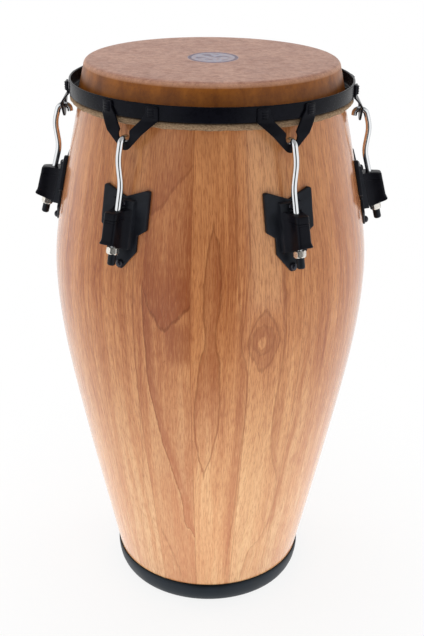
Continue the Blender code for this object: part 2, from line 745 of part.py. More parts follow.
def main():
    clear_scene()
    parts = new_collection("tumba")
    cutters = new_collection("cutters")

    wood = material("clear_rubberwood", (0.56, 0.27, 0.14), 0.32)
    skin = material("head_skin", (0.40, 0.22, 0.14), 0.45)
    folded_skin = material("folded_skin", (0.34, 0.20, 0.12), 0.75)
    black_steel = material("black_powder_coat", (0.012, 0.013, 0.017), 0.42)
    chrome = material("chrome", (0.78, 0.79, 0.80), 0.08, 1.0)
    nickel = material("nickel", (0.62, 0.60, 0.56), 0.25, 1.0)
    zinc = material("zinc_steel", (0.45, 0.46, 0.47), 0.35, 1.0)
    black_rubber = material("black_rubber", (0.018, 0.018, 0.020), 0.6)

    bolt_holes = make_bolt_holes(cutters)
    make_shell(parts, wood, bolt_holes)
    make_base_ring(parts, black_rubber)
    make_head_skin(parts, skin)

    rim_frame = frame_empty("rim_frame", parts, location=(0, 0, RIM_BOTTOM_Z))
    for piece in (
        make_rim(parts, black_steel, rim_frame),
        make_skin_tuck(parts, folded_skin, rim_frame),
        make_flesh_hoop(parts, zinc, rim_frame),
    ):
        piece.location = (0, 0, -RIM_BOTTOM_Z)

    meshes = {
        "hook_bracket": bracket_mesh(),
        "tuning_hook": hook_mesh(),
        "side_plate": side_plate_mesh(),
        "backing_plate": backing_mesh(),
        "lug_block": block_mesh(),
        "hook_nut": nut_mesh(),
    }
    bore_mesh = cylinder_mesh("rod_bore", ROD_R + CLEAR, -BLOCK_H - BLOCK_EDGE_R, BLOCK_FRONT)

    for index in range(LUG_COUNT):
        number = index + 1
        turn = azimuth(index)
        lug = frame_empty(f"lug_{number}_frame", parts, rotation=(0, 0, turn))
        rod = frame_empty(f"rod_{number}_frame", parts, lug, (0, -ROD_TOP_R, LUG_Z), (-ROD_LEAN, 0, 0))
        bracket = place(f"hook_bracket_{number}", meshes["hook_bracket"], parts, rim_frame, black_steel)
        bracket.location = (0, 0, -RIM_BOTTOM_Z)
        bracket.rotation_euler = (0, 0, turn)
        hook = place(f"tuning_hook_{number}", meshes["tuning_hook"], parts, lug, chrome)
        hook.location = (0, -ROD_TOP_R, LUG_Z)

        plate = place(f"side_plate_{number}", meshes["side_plate"], parts, lug, black_steel)
        cut(plate, bolt_holes)
        backing = place(f"backing_plate_{number}", meshes["backing_plate"], parts, lug, zinc)
        cut(backing, bolt_holes)

        bore = place(f"rod_bore_{number}", bore_mesh, cutters, rod)
        bore.hide_render = True
        bore.display_type = "WIRE"
        block = place(f"lug_block_{number}", meshes["lug_block"], parts, rod, black_steel)
        bevel = block.modifiers.new("round edges", "BEVEL")
        bevel.width = BLOCK_EDGE_R
        bevel.segments = 1
        bevel.limit_method = "ANGLE"
        bevel.angle_limit = radians(40)
        cut(block, bore)

        nut = place(f"hook_nut_{number}", meshes["hook_nut"], parts, rod, nickel)
        nut.location = (0, 0, -BLOCK_H - CLEAR)
        cap = turned_object(
            f"hook_cap_{number}", cap_profile(), parts, black_rubber, rod, sides=SMALL_SIDES, ring=False
        )
        cap.location = (0, 0, -BLOCK_H - CLEAR - NUT_H - CLEAR)

        for where, z, seat, head_r, head_h in (
            ("upper", UPPER_BOLT_Z, upper_bolt(), UPPER_HEAD_R, UPPER_HEAD_H),
            ("lower", LOWER_BOLT_Z, lower_bolt(), BOLT_HEAD_R, LOWER_HEAD_H),
        ):
            seat_r, lean, length = seat
            bolt = turned_object(
                f"{where}_bolt_{number}", bolt_profile(head_r, head_h, length), parts, black_steel, lug,
                sides=SMALL_SIDES, ring=False,
            )
            bolt.location = (0, -seat_r, z)
            bolt.rotation_euler = (pi / 2 - lean, 0, 0)


main()
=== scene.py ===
"""Looks for the tumba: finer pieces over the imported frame, materials, studio and camera."""

from math import atan, cos, pi, radians, sin, sqrt, tan

import bmesh
import bpy
from mathutils import Matrix, Vector


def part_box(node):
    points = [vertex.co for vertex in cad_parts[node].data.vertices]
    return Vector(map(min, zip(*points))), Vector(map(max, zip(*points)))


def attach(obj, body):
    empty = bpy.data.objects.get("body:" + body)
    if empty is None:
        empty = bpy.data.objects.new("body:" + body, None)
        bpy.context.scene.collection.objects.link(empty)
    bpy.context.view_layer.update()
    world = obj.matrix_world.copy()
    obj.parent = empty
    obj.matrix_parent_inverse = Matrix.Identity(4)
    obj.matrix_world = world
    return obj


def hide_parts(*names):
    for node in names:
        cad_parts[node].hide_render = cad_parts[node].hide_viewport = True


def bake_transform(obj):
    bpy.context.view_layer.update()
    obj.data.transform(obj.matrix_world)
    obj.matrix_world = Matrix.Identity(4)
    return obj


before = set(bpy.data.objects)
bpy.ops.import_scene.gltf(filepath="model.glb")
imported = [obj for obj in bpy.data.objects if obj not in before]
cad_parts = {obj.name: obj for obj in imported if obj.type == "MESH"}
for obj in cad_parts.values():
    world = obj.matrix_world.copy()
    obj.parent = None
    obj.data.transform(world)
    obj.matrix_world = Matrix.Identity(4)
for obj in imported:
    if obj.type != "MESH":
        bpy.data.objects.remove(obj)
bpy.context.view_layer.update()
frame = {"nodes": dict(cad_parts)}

# Sizes, as in the solids
CLEAR = 0.0003
SHELL_TOP_Z = 0.7335
SHELL_STATIONS = (
    (0.009, 0.1272, 0.2045),
    (0.240, 0.1742, 0.190),
    (0.470, 0.2047, 0.0),
    (0.600, 0.1853, -0.205),
    (0.7335, 0.1556, -0.235),
)
SHELL_WALL = 0.0115
EDGE_R = 0.005
FOOT_Z = 0.009
BASE_TOP_Z = 0.031
SKIN_T = 0.0022
CROWN_Z = SHELL_TOP_Z + CLEAR + SKIN_T
RIM_TOP_Z = CROWN_Z - 0.0224
RIM_H = 0.018
RIM_BOTTOM_Z = RIM_TOP_Z - RIM_H
RIM_WALL = 0.0027
RIM_FLANGE_T = 0.0025
HOOP_WIRE_R = 0.0028
TUCK_R = HOOP_WIRE_R + CLEAR + 0.0013
HOOP_Z = RIM_BOTTOM_Z - CLEAR - TUCK_R
COLLAR_END_Z = RIM_BOTTOM_Z - 0.0065
LUGS = 6
LUG_Z = RIM_BOTTOM_Z - 0.1016

ROD_R = 0.00355
HOOK_BEND_RISE = 0.027
HOOK_BEND_R = 0.045
HOOK_REACH = 0.0115
HOOK_SHOULDER_DROP = 0.022
HOOK_TOP_REACH = 0.0052
HOOK_TOP_BEND_R = 0.0075
HOOK_INSIDE = 0.0053
HOOK_END_BEND_R = 0.005
HOOK_END_IN = 0.0010
HOOK_END_DROP = 0.0075
ROD_END_IN_CAP = 0.0105

BRACKET_T = 0.0026
BRACKET_PAD_T = 0.0052
BRACKET_STANDOFF = 0.0078
BRACKET_BEND_H = 0.0150
BRACKET_HALF_W = 0.0380
BRACKET_ARM_W = 0.0145
BRACKET_ARM_TOP_Z = RIM_TOP_Z - 0.0020
BRACKET_CORNER_R = 0.0025
BRACKET_MOUTH_HALF_W = 0.0178
BRACKET_NOTCH_HALF_W = 0.0068
BRACKET_NOTCH_Z = RIM_BOTTOM_Z - 0.0122
BRACKET_EYE_R = 0.0078
EYE_Z = RIM_BOTTOM_Z - 0.0253
BRACKET_TIP_Z = EYE_Z - 0.0100
BRACKET_TIP_R = 0.009
BOSS_HALF_W = 0.0046
BOSS_BOTTOM_Z = RIM_BOTTOM_Z + 0.0030
BOSS_TOP_Z = BRACKET_ARM_TOP_Z - 0.0004
BOSS_RIDGE_PITCH = 0.0030
BOSS_RIDGE_H = 0.0007
HOOK_TOP_Z = EYE_Z + CLEAR + ROD_R

PLATE_T = 0.0028
PLATE_HALF_W = 0.0318
PLATE_TOP_HALF_W = 0.0270
PLATE_TOP_Z = LUG_Z + 0.0220
PLATE_NOTCH_Z = LUG_Z + 0.0120
PLATE_SHOULDER_Z = LUG_Z - 0.0228
PLATE_SHOULDER_H = 0.0076
PLATE_TAIL_HALF_W = 0.0206
PLATE_TAIL_Z = LUG_Z - 0.0495
PLATE_TIP_Z = LUG_Z - 0.0709
PLATE_CORNER_R = 0.003
PAD_HALF_W = 0.0138
PAD_BACK = 0.0086
PAD_TOP_Z = LUG_Z + 0.0090
PAD_BOTTOM_Z = LUG_Z - 0.0450
PAD_RAMP = 0.0015

BLOCK_W = 0.0172
BLOCK_BACK_W = 0.0276
BLOCK_FRONT = 0.0155
BLOCK_CORNER_R = 0.0035
BLOCK_H = 0.0430
BLOCK_FLARE = 0.0015
BLOCK_FLARE_H = 0.0100
BLOCK_EDGE_R = 0.0010
BLOCK_LID_H = 0.0075
BLOCK_GROOVE = 0.0007
BLOCK_FRONT_RISE = 0.0026

NUT_ACROSS_FLATS = 0.013
NUT_H = 0.008
NUT_TURNS = (-19, -22, -16, -24, -18, -21)
CAP_R = 0.0048
CAP_L = 0.013
CAP_ROUND_R = 0.0025
BOLT_R = 0.003
LOWER_HEAD = (0.0046, 0.0046)
UPPER_HEAD = (0.0038, 0.0028)
UPPER_BOLT_Z = LUG_Z + 0.0050
LOWER_BOLT_Z = LUG_Z - 0.0650
BOLT_L = 0.02


def shell_radius(z):
    """Outer radius of the wood at a height."""
    for (z0, r0, m0), (z1, r1, m1) in zip(SHELL_STATIONS, SHELL_STATIONS[1:]):
        if z <= z1:
            break
    span = z1 - z0
    t = (z - z0) / span
    blend = t * t * (3 - 2 * t)
    return r0 * (1 - blend) + r1 * blend + t * (1 - t) ** 2 * span * m0 + t * t * (t - 1) * span * m1


def shell_lean(z):
    """Angle by which the wood leans outwards going down."""
    return atan((shell_radius(z - 0.0005) - shell_radius(z + 0.0005)) / 0.001)


def collar_radius(z):
    return shell_radius(z) + CLEAR + SKIN_T


RIM_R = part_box("rim")[1].x
HOOP_RING_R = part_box("flesh_hoop")[1].x - HOOP_WIRE_R
BRACKET_FOOT_R = RIM_R + CLEAR
BRACKET_FACE_R = BRACKET_FOOT_R + BRACKET_STANDOFF
ROD_LEAN = shell_lean(LUG_Z - BLOCK_H / 2) + radians(3.0)
ROD_TOP_R = shell_radius(LUG_Z) + 0.0165


def pad_plane_radius(z):
    """Distance from the drum's axis to the pad's flat face, which lies along the rod."""
    return ROD_TOP_R + (LUG_Z - z) * tan(ROD_LEAN) - PAD_BACK / cos(ROD_LEAN)


def azimuth(index):
    return radians(-30 + 60 * index)


# Mesh helpers
def new_object(name, mesh, mat=None):
    obj = bpy.data.objects.new(name, mesh)
    bpy.context.scene.collection.objects.link(obj)
    if mat is not None and not mesh.materials:
        mesh.materials.append(mat)
    return obj


def smooth(mesh, angle=35):
    mesh.shade_smooth()
    mesh.set_sharp_from_angle(angle=radians(angle))


def arc(cx, cz, radius, start, end, steps):
    angles = [radians(start + (end - start) * i / steps) for i in range(steps + 1)]
    return [(cx + radius * cos(a), cz + radius * sin(a)) for a in angles]


def ease(value, start, end):
    """A smooth step from 0 at the start to 1 at the end."""
    t = min(max((value - start) / (end - start), 0.0), 1.0)
    return t * t * (3 - 2 * t)


def mirrored(half):
    """A closed outline from its right half, which starts and ends on the middle line."""
    return half + [(-x, y) for x, y in reversed(half) if abs(x) > 1e-6]


def from_shape(name, shape, angle=35):
    """A mesh from a bmesh, with its faces turned out."""
    bmesh.ops.recalc_face_normals(shape, faces=shape.faces)
    mesh = bpy.data.meshes.new(name)
    shape.to_mesh(mesh)
    shape.free()
    smooth(mesh, angle)
    return mesh


def lathe(name, profile, segments, closed=True, wobble=None, angle=35):
    """Turns a profile of (radius, z) round Z; a radius of 0 makes a pole."""
    shape = bmesh.new()
    rings = []
    for index, (r, z) in enumerate(profile):
        if r < 1e-6:
            rings.append([shape.verts.new((0, 0, z))])
            continue
        ring = []
        for k in range(segments):
            a = 2 * pi * k / segments
            dr, dz = wobble(index, a) if wobble else (0, 0)
            ring.append(shape.verts.new(((r + dr) * sin(a), -(r + dr) * cos(a), z + dz)))
        rings.append(ring)
    pairs = list(zip(rings, rings[1:]))
    if closed:
        pairs.append((rings[-1], rings[0]))
    for a, b in pairs:
        for k in range(segments):
            n = (k + 1) % segments
            corners = [a[k % len(a)], a[n % len(a)], b[n % len(b)], b[k % len(b)]]
            unique = list(dict.fromkeys(corners))
            if len(unique) > 2:
                shape.faces.new(unique)
    return from_shape(name, shape, angle)


def filleted(corners, radii, steps):
    """The path through these corners with each inner one rounded by an arc."""
    path = [Vector(corners[0])]
    for before, corner, after, radius, count in zip(corners, corners[1:], corners[2:], radii, steps):
        corner = Vector(corner)
        into = (corner - Vector(before)).normalized()
        out = (Vector(after) - corner).normalized()
        turn = into.angle(out)
        start = corner - into * radius * tan(turn / 2)
        middle = corner + (out - into).normalized() * (radius / cos(turn / 2))
        side = 1 if into.cross(out) > 0 else -1
        for i in range(count + 1):
            path.append(middle + Matrix.Rotation(side * turn * i / count, 2) @ (start - middle))
    path.append(Vector(corners[-1]))
    return path


def rounded(corners, radius, steps=4):
    """A closed outline with every corner rounded."""
    points = []
    count = len(corners)
    for i in range(count):
        a, b, c = (Vector(corners[(i + k) % count]) for k in (-1, 0, 1))
        points += filleted([(a + b) / 2, b, (b + c) / 2], [radius], [steps])[1:-1]
    return points


def baked(obj, name, angle=35):
    """The object's evaluated mesh, with the object itself removed."""
    bpy.context.view_layer.update()
    mesh = bpy.data.meshes.new_from_object(obj.evaluated_get(bpy.context.evaluated_depsgraph_get()))
    bpy.data.objects.remove(obj)
    shape = bmesh.new()
    shape.from_mesh(mesh)
    bpy.data.meshes.remove(mesh)
    bmesh.ops.remove_doubles(shape, verts=shape.verts, dist=1e-6)
    return from_shape(name, shape, angle)


def slab(name, outline, thickness, edge_r, cell, cuts_x=(), cuts_y=()):
    """A flat plate with rounded edges, cut into small cells so that it can be bent."""
    curve = bpy.data.curves.new(name, "CURVE")
    curve.dimensions = "2D"
    curve.fill_mode = "BOTH"
    curve.extrude = thickness / 2 - edge_r
    curve.bevel_depth = edge_r
    curve.bevel_resolution = 2
    curve.offset = -edge_r
    spline = curve.splines.new("POLY")
    spline.points.add(len(outline) - 1)
    for point, (x, y) in zip(spline.points, outline):
        point.co = (x, y, 0, 1)
    spline.use_cyclic_u = True
    carrier = new_object(name, curve)
    mesh = baked(carrier, name)
    bpy.data.curves.remove(curve)
    shape = bmesh.new()
    shape.from_mesh(mesh)
    bpy.data.meshes.remove(mesh)
    bmesh.ops.dissolve_limit(shape, angle_limit=0.005, verts=shape.verts, edges=shape.edges)
    cuts = []
    for axis, taken in ((0, cuts_x), (1, cuts_y)):
        values = [v.co[axis] for v in shape.verts]
        low, high = min(values), max(values)
        count = int((high - low) / cell)
        even = [low + (high - low) * i / count for i in range(1, count)]
        at = list(taken) + [v for v in even if all(abs(v - t) > cell * 0.4 for t in taken)]
        normal = (1, 0, 0) if axis == 0 else (0, 1, 0)
        cuts += [(tuple(v * part for part in normal), normal) for v in at]
    for point, normal in cuts:
        everything = shape.verts[:] + shape.edges[:] + shape.faces[:]
        bmesh.ops.bisect_plane(shape, geom=everything, plane_co=point, plane_no=normal, dist=1e-6)
    return from_shape(name, shape)


def bend(mesh, thickness, faces):
    """Lays a slab between a back and a front surface, each a distance behind or ahead of X."""
    for vertex in mesh.vertices:
        x, z, depth = vertex.co
        share = depth / thickness + 0.5
        back, front = faces(x, z)
        vertex.co = (x, -back * (1 - share) - front * share, z)
    shape = bmesh.new()
    shape.from_mesh(mesh)
    name = mesh.name
    bpy.data.meshes.remove(mesh)
    return from_shape(name, shape)


def tube(name, points, radius, resolution=6):
    curve = bpy.data.curves.new(name, "CURVE")
    curve.dimensions = "3D"
    curve.bevel_depth = radius
    curve.bevel_resolution = resolution
    curve.use_fill_caps = True
    spline = curve.splines.new("POLY")
    spline.points.add(len(points) - 1)
    for point, co in zip(spline.points, points):
        point.co = (*co, 1.0)
    mesh = baked(new_object(name, curve), name, 50)
    bpy.data.curves.remove(curve)
    return mesh


# Materials
class Nodes:
    """Short calls for building a material's node tree."""

    def __init__(self, name):
        self.material = bpy.data.materials.new(name)
        self.material.use_nodes = True
        self.tree = self.material.node_tree
        self.shader = self.tree.nodes["Principled BSDF"]

    def node(self, kind, **settings):
        made = self.tree.nodes.new(kind)
        for key, value in settings.items():
            setattr(made, key, value)
        return made

    def put(self, value, socket):
        if isinstance(value, bpy.types.NodeSocket):
            self.tree.links.new(value, socket)
        else:
            socket.default_value = value

    def math(self, operation, a, b=None, c=None, clamp=False):
        made = self.node("ShaderNodeMath", operation=operation, use_clamp=clamp)
        for value, socket in zip((a, b, c), made.inputs):
            if value is not None:
                self.put(value, socket)
        return made.outputs[0]

    def add(self, a, b):
        return self.math("ADD", a, b)

    def minus(self, a, b):
        return self.math("SUBTRACT", a, b)

    def times(self, a, b, *more):
        made = self.math("MULTIPLY", a, b)
        for factor in more:
            made = self.math("MULTIPLY", made, factor)
        return made

    def most(self, first, *more):
        for value in more:
            first = self.math("MAXIMUM", first, value)
        return first

    def vector(self, x, y, z):
        made = self.node("ShaderNodeCombineXYZ")
        for value, socket in zip((x, y, z), made.inputs):
            self.put(value, socket)
        return made.outputs[0]

    def place(self):
        """Object coordinates, whole and split."""
        coords = self.node("ShaderNodeTexCoord").outputs["Object"]
        split = self.node("ShaderNodeSeparateXYZ")
        self.put(coords, split.inputs[0])
        return coords, split.outputs[0], split.outputs[1], split.outputs[2]

    def round_place(self, x, y):
        """Radius, and angle in degrees from the front towards +X."""
        radius = self.math("SQRT", self.add(self.times(x, x), self.times(y, y)))
        angle = self.times(self.math("ARCTAN2", x, self.times(y, -1.0)), 180 / pi)
        return radius, angle

    def noise(self, vector, scale, detail=3.0, rough=0.5, distortion=0.0):
        made = self.node("ShaderNodeTexNoise")
        self.put(vector, made.inputs["Vector"])
        made.inputs["Scale"].default_value = scale
        made.inputs["Detail"].default_value = detail
        made.inputs["Roughness"].default_value = rough
        made.inputs["Distortion"].default_value = distortion
        return made.outputs["Fac"]

    def remap(self, value, a, b, c=0.0, d=1.0, smoothed=True):
        made = self.node("ShaderNodeMapRange", interpolation_type="SMOOTHSTEP" if smoothed else "LINEAR")
        self.put(value, made.inputs["Value"])
        for key, number in (("From Min", a), ("From Max", b), ("To Min", c), ("To Max", d)):
            self.put(number, made.inputs[key])
        return made.outputs["Result"]

    def between(self, value, low, high, fade):
        """1 from low to high, fading to 0 outside them."""
        return self.times(self.remap(value, low - fade, low), self.remap(value, high + fade, high))

    def curve(self, value, points):
        """The smooth line through these (value, result) points, level beyond its ends."""
        points = sorted(points)
        first, last = points[0][0], points[-1][0]
        results = [result for _, result in points]
        low, high = min(results), max(results)
        made = self.node("ShaderNodeFloatCurve")
        line = made.mapping.curves[0]
        spots = [((at - first) / (last - first), (result - low) / (high - low)) for at, result in points]
        line.points[0].location = spots[0]
        line.points[1].location = spots[-1]
        for spot in spots[1:-1]:
            line.points.new(*spot)
        for point in line.points:
            point.handle_type = "AUTO_CLAMPED"
        made.mapping.update()
        self.put(self.remap(value, first, last, smoothed=False), made.inputs["Value"])
        return self.math("MULTIPLY_ADD", made.outputs[0], high - low, low)

    def mix(self, share, a, b, blend="MIX"):
        made = self.node("ShaderNodeMix", data_type="RGBA", blend_type=blend)
        self.put(share, made.inputs[0])
        for value, socket in ((a, made.inputs[6]), (b, made.inputs[7])):
            if isinstance(value, tuple):
                socket.default_value = (*value, 1.0)
            else:
                self.put(value, socket)
        return made.outputs[2]

    def bump(self, height, strength, distance):
        made = self.node("ShaderNodeBump")
        made.inputs["Strength"].default_value = strength
        made.inputs["Distance"].default_value = distance
        self.put(height, made.inputs["Height"])
        return made.outputs[0]

    def finish(self, colour, roughness, metallic=0.0, normal=None, **more):
        self.put(colour, self.shader.inputs["Base Color"])
        self.put(roughness, self.shader.inputs["Roughness"])
        self.shader.inputs["Metallic"].default_value = metallic
        if normal is not None:
            self.put(normal, self.shader.inputs["Normal"])
        for key, value in more.items():
            self.put(value, self.shader.inputs[key.replace("_", " ")])
        return self.material


def srgb(r, g, b):
    """Linear colour from 8-bit sRGB."""
    out = []
    for v in (r, g, b):
        v /= 255
        out.append(v / 12.92 if v <= 0.04045 else ((v + 0.055) / 1.055) ** 2.4)
    return tuple(out)


# Wood: staves, and the growth figure of three of them, as (degrees, height in mm)
STAVES = 18
STAVE_SPAN = 20.0
STAVE_SEAM = -5.0
FIGURE_SPAN = 120.0
FIGURE_START = -55.0
FIGURE_MIDDLE = 5.0
ARCH = ((-21.3, 511), (-19.8, 487), (-17.3, 469), (-14.1, 455), (-11, 463), (-7.9, 475), (-5, 487))
UPPER_ARCH = ((-20, 590), (-15.4, 603), (-12.3, 619), (-7.9, 635), (-5, 647))
FLANK = (
    (-21.6, 503), (-20.8, 435), (-20.6, 387), (-19.1, 339), (-16.6, 283),
    (-12.9, 227), (-10.4, 187), (-9.8, 155), (-6.6, 135), (-4.8, 123),
)
LOW_FLANK = ((-22.3, 123), (-18.5, 91), (-14.8, 51))
LEFT_FLANK = ((-24.9, 506), (-24.9, 380), (-26.2, 296), (-29.4, 205), (-35.6, 128))
SPINDLE_LEFT = (
    (2.4, 577), (0.5, 545), (-0.5, 483), (0.2, 447), (-1.4, 419), (-2.9, 371), (-3.9, 331), (-2.7, 275), (-0.5, 241),
)
SPINDLE_RIGHT = ((2.5, 577), (4.5, 552), (5.0, 500), (3.4, 447), (4.6, 419), (5.25, 355), (3.2, 285), (-0.4, 241))
WAVE = (
    (10.3, 659), (10.6, 555), (11.5, 475), (12.2, 436), (14.9, 385), (15.2, 339), (14.3, 275), (14.0, 195),
    (12.8, 115), (11.8, 55),
)
WAVE_BRANCH = ((14.4, 640), (15.0, 562), (13.4, 492), (12.3, 440))
RIGHT_FLANK = (
    (26.9, 520), (27.8, 450), (27.6, 400), (26.6, 338), (28.1, 268), (33.8, 205), (34.3, 170), (31.9, 121), (24, 87),
    (21.5, 45),
)
EYE = (20.1, 0.438, 5.8, 0.041)
EYE_RING = (19.7, 0.441, 4.0, 0.019)
EYE_CORE = (19.3, 0.437, 1.5, 0.007)


def steep_line(n, t, h, points):
    """Degrees right of a steep growth line, and 1 along its length."""
    heights = [z / 1000 for _, z in points]
    line = n.curve(h, [(z / 1000, degrees) for degrees, z in points])
    return n.minus(t, line), n.between(h, min(heights), max(heights), 0.012)


def flat_line(n, t, h, points):
    """Metres above a flat growth line, and 1 along its length."""
    line = n.curve(t, [(degrees, z / 1000) for degrees, z in points])
    angles = [degrees for degrees, _ in points]
    return n.minus(h, line), n.between(t, min(angles), max(angles), 0.2)


def stroke(n, distance, half):
    return n.remap(n.math("ABSOLUTE", distance), half, half * 0.25)


def beside(n, distance, width):
    """A tone that starts at a line and fades out over a width, to the side of the width's sign."""
    return n.times(n.remap(distance, width, 0.0), n.remap(distance, -width * 0.04, width * 0.04))


def oval_size(n, t, h, oval, power):
    """0 in the middle of an oval and 1 on its edge; a power under 2 makes its ends pointed."""
    middle, height, half_span, half_height = oval
    aside = n.math("ABSOLUTE", n.times(n.minus(t, middle), 1 / half_span))
    above = n.math("ABSOLUTE", n.times(n.minus(h, height), 1 / half_height))
    return n.add(n.math("POWER", aside, power), n.math("POWER", above, power))


def wood_figure(n, t, h, wavy):
    """Dark lines, red tones, pale tones and palest zone of the grown figure."""
    left = n.times(n.math("GREATER_THAN", t, -25.0), n.math("LESS_THAN", t, STAVE_SEAM))
    right = n.times(n.math("GREATER_THAN", t, STAVE_SEAM), n.math("LESS_THAN", t, 55.0))
    t = n.math("MULTIPLY_ADD", wavy, 1.2, t)
    h = n.math("MULTIPLY_ADD", wavy, 0.018, h)

    arch, on_arch = flat_line(n, t, h, ARCH)
    upper, on_upper = flat_line(n, t, h, UPPER_ARCH)
    flank, on_flank = steep_line(n, t, h, FLANK)
    low_flank, on_low = steep_line(n, t, h, LOW_FLANK)
    left_flank, on_left = steep_line(n, t, h, LEFT_FLANK)
    wave, on_wave = steep_line(n, t, h, WAVE)
    branch, on_branch = steep_line(n, t, h, WAVE_BRANCH)
    outer, on_outer = steep_line(n, t, h, RIGHT_FLANK)
    from_left, on_spindle = steep_line(n, t, h, SPINDLE_LEFT)
    from_right, _ = steep_line(n, t, h, SPINDLE_RIGHT)
    spindle = n.math("MINIMUM", from_left, n.times(from_right, -1.0))

    eye = oval_size(n, t, h, EYE, 1.35)
    ring = oval_size(n, t, h, EYE_RING, 1.8)
    core = oval_size(n, t, h, EYE_CORE, 1.8)

    dark = n.most(
        n.times(stroke(n, arch, 0.0036), on_arch, left),
        n.times(stroke(n, upper, 0.0035), on_upper, left, 0.6),
        n.times(stroke(n, flank, 0.42), on_flank, left, 0.9),
        n.times(stroke(n, low_flank, 0.75), on_low, left, 0.55),
        n.times(stroke(n, left_flank, 0.45), on_left, 0.35),
        n.times(stroke(n, wave, 0.56), on_wave, right, 0.50),
        n.times(stroke(n, branch, 0.40), on_branch, right, 0.45),
        n.times(stroke(n, outer, 0.7), on_outer, right, 0.46),
        n.times(stroke(n, spindle, 0.48), on_spindle, right, 0.82),
        n.times(stroke(n, n.minus(eye, 1.0), 0.11), right, 0.60),
        n.times(stroke(n, n.minus(ring, 1.0), 0.30), right, 0.42),
    )
    red = n.most(
        n.times(beside(n, arch, 0.13), on_arch, left, 0.75),
        n.times(beside(n, upper, 0.09), on_upper, left, 0.7),
        n.times(beside(n, flank, 4.2), on_flank, left, 0.95),
        n.times(beside(n, wave, -3.0), n.remap(h, 0.40, 0.33), on_wave, right, 0.5),
        n.times(beside(n, outer, 5.0), n.remap(h, 0.40, 0.30), on_outer, right, 0.6),
        n.times(n.remap(spindle, 0.0, 0.5), on_spindle, right, n.remap(h, 0.26, 0.44, 0.25, 0.65)),
        n.times(n.remap(eye, 1.02, 0.90), right, n.remap(h, 0.455, 0.420, 0.35, 0.65)),
        n.times(n.between(t, -12.0, -5.0, 3.0), n.between(h, 0.420, 0.454, 0.018), left, 0.52),
        n.times(n.remap(t, -13.0, -5.5), n.remap(h, 0.46, 0.51), left, 0.50),
        n.times(n.remap(ring, 1.02, 0.80), n.remap(core, 0.7, 1.2), right, 0.75),
    )
    pale = n.most(
        n.times(n.remap(core, 1.3, 0.5), right, 1.4),
        n.times(n.remap(n.math("ABSOLUTE", n.minus(eye, 1.45)), 0.4, 0.1), n.math("GREATER_THAN", t, 12.3), right, 0.5),
        n.times(n.between(t, 16.0, 24.0, 3.0), n.remap(outer, 0.0, -2.5), n.remap(h, 0.42, 0.34), right),
        n.times(beside(n, flank, -2.2), on_flank, left, 0.7),
        n.times(n.between(t, 15.1, 34.9, 0.1), 0.30),
        n.times(n.between(t, 17.0, 24.0, 3.0), n.remap(h, 0.47, 0.50, 0.0, 0.9), right),
        n.times(n.between(t, -4.9, 1.5, 2.5), n.remap(h, 0.42, 0.50), right, 0.45),
        n.times(n.between(t, 36.0, 51.0, 2.5), n.remap(h, 0.42, 0.50), right, 0.5),
    )
    beyond = n.minus(1.0, n.between(t, STAVE_SEAM, STAVE_SEAM + 2 * STAVE_SPAN, 0.05))
    red = n.math("MULTIPLY_ADD", beyond, 0.24, red)
    low = n.times(n.remap(h, 0.36, 0.22, 0.0, 0.30), n.remap(t, -25.0, -13.0))
    red = n.math("MULTIPLY_ADD", left, n.add(low, 0.12), red, clamp=True)
    sapwood = n.times(n.between(t, 17.0, 24.0, 4.0), n.remap(h, 0.46, 0.50), right)
    return dark, red, pale, sapwood


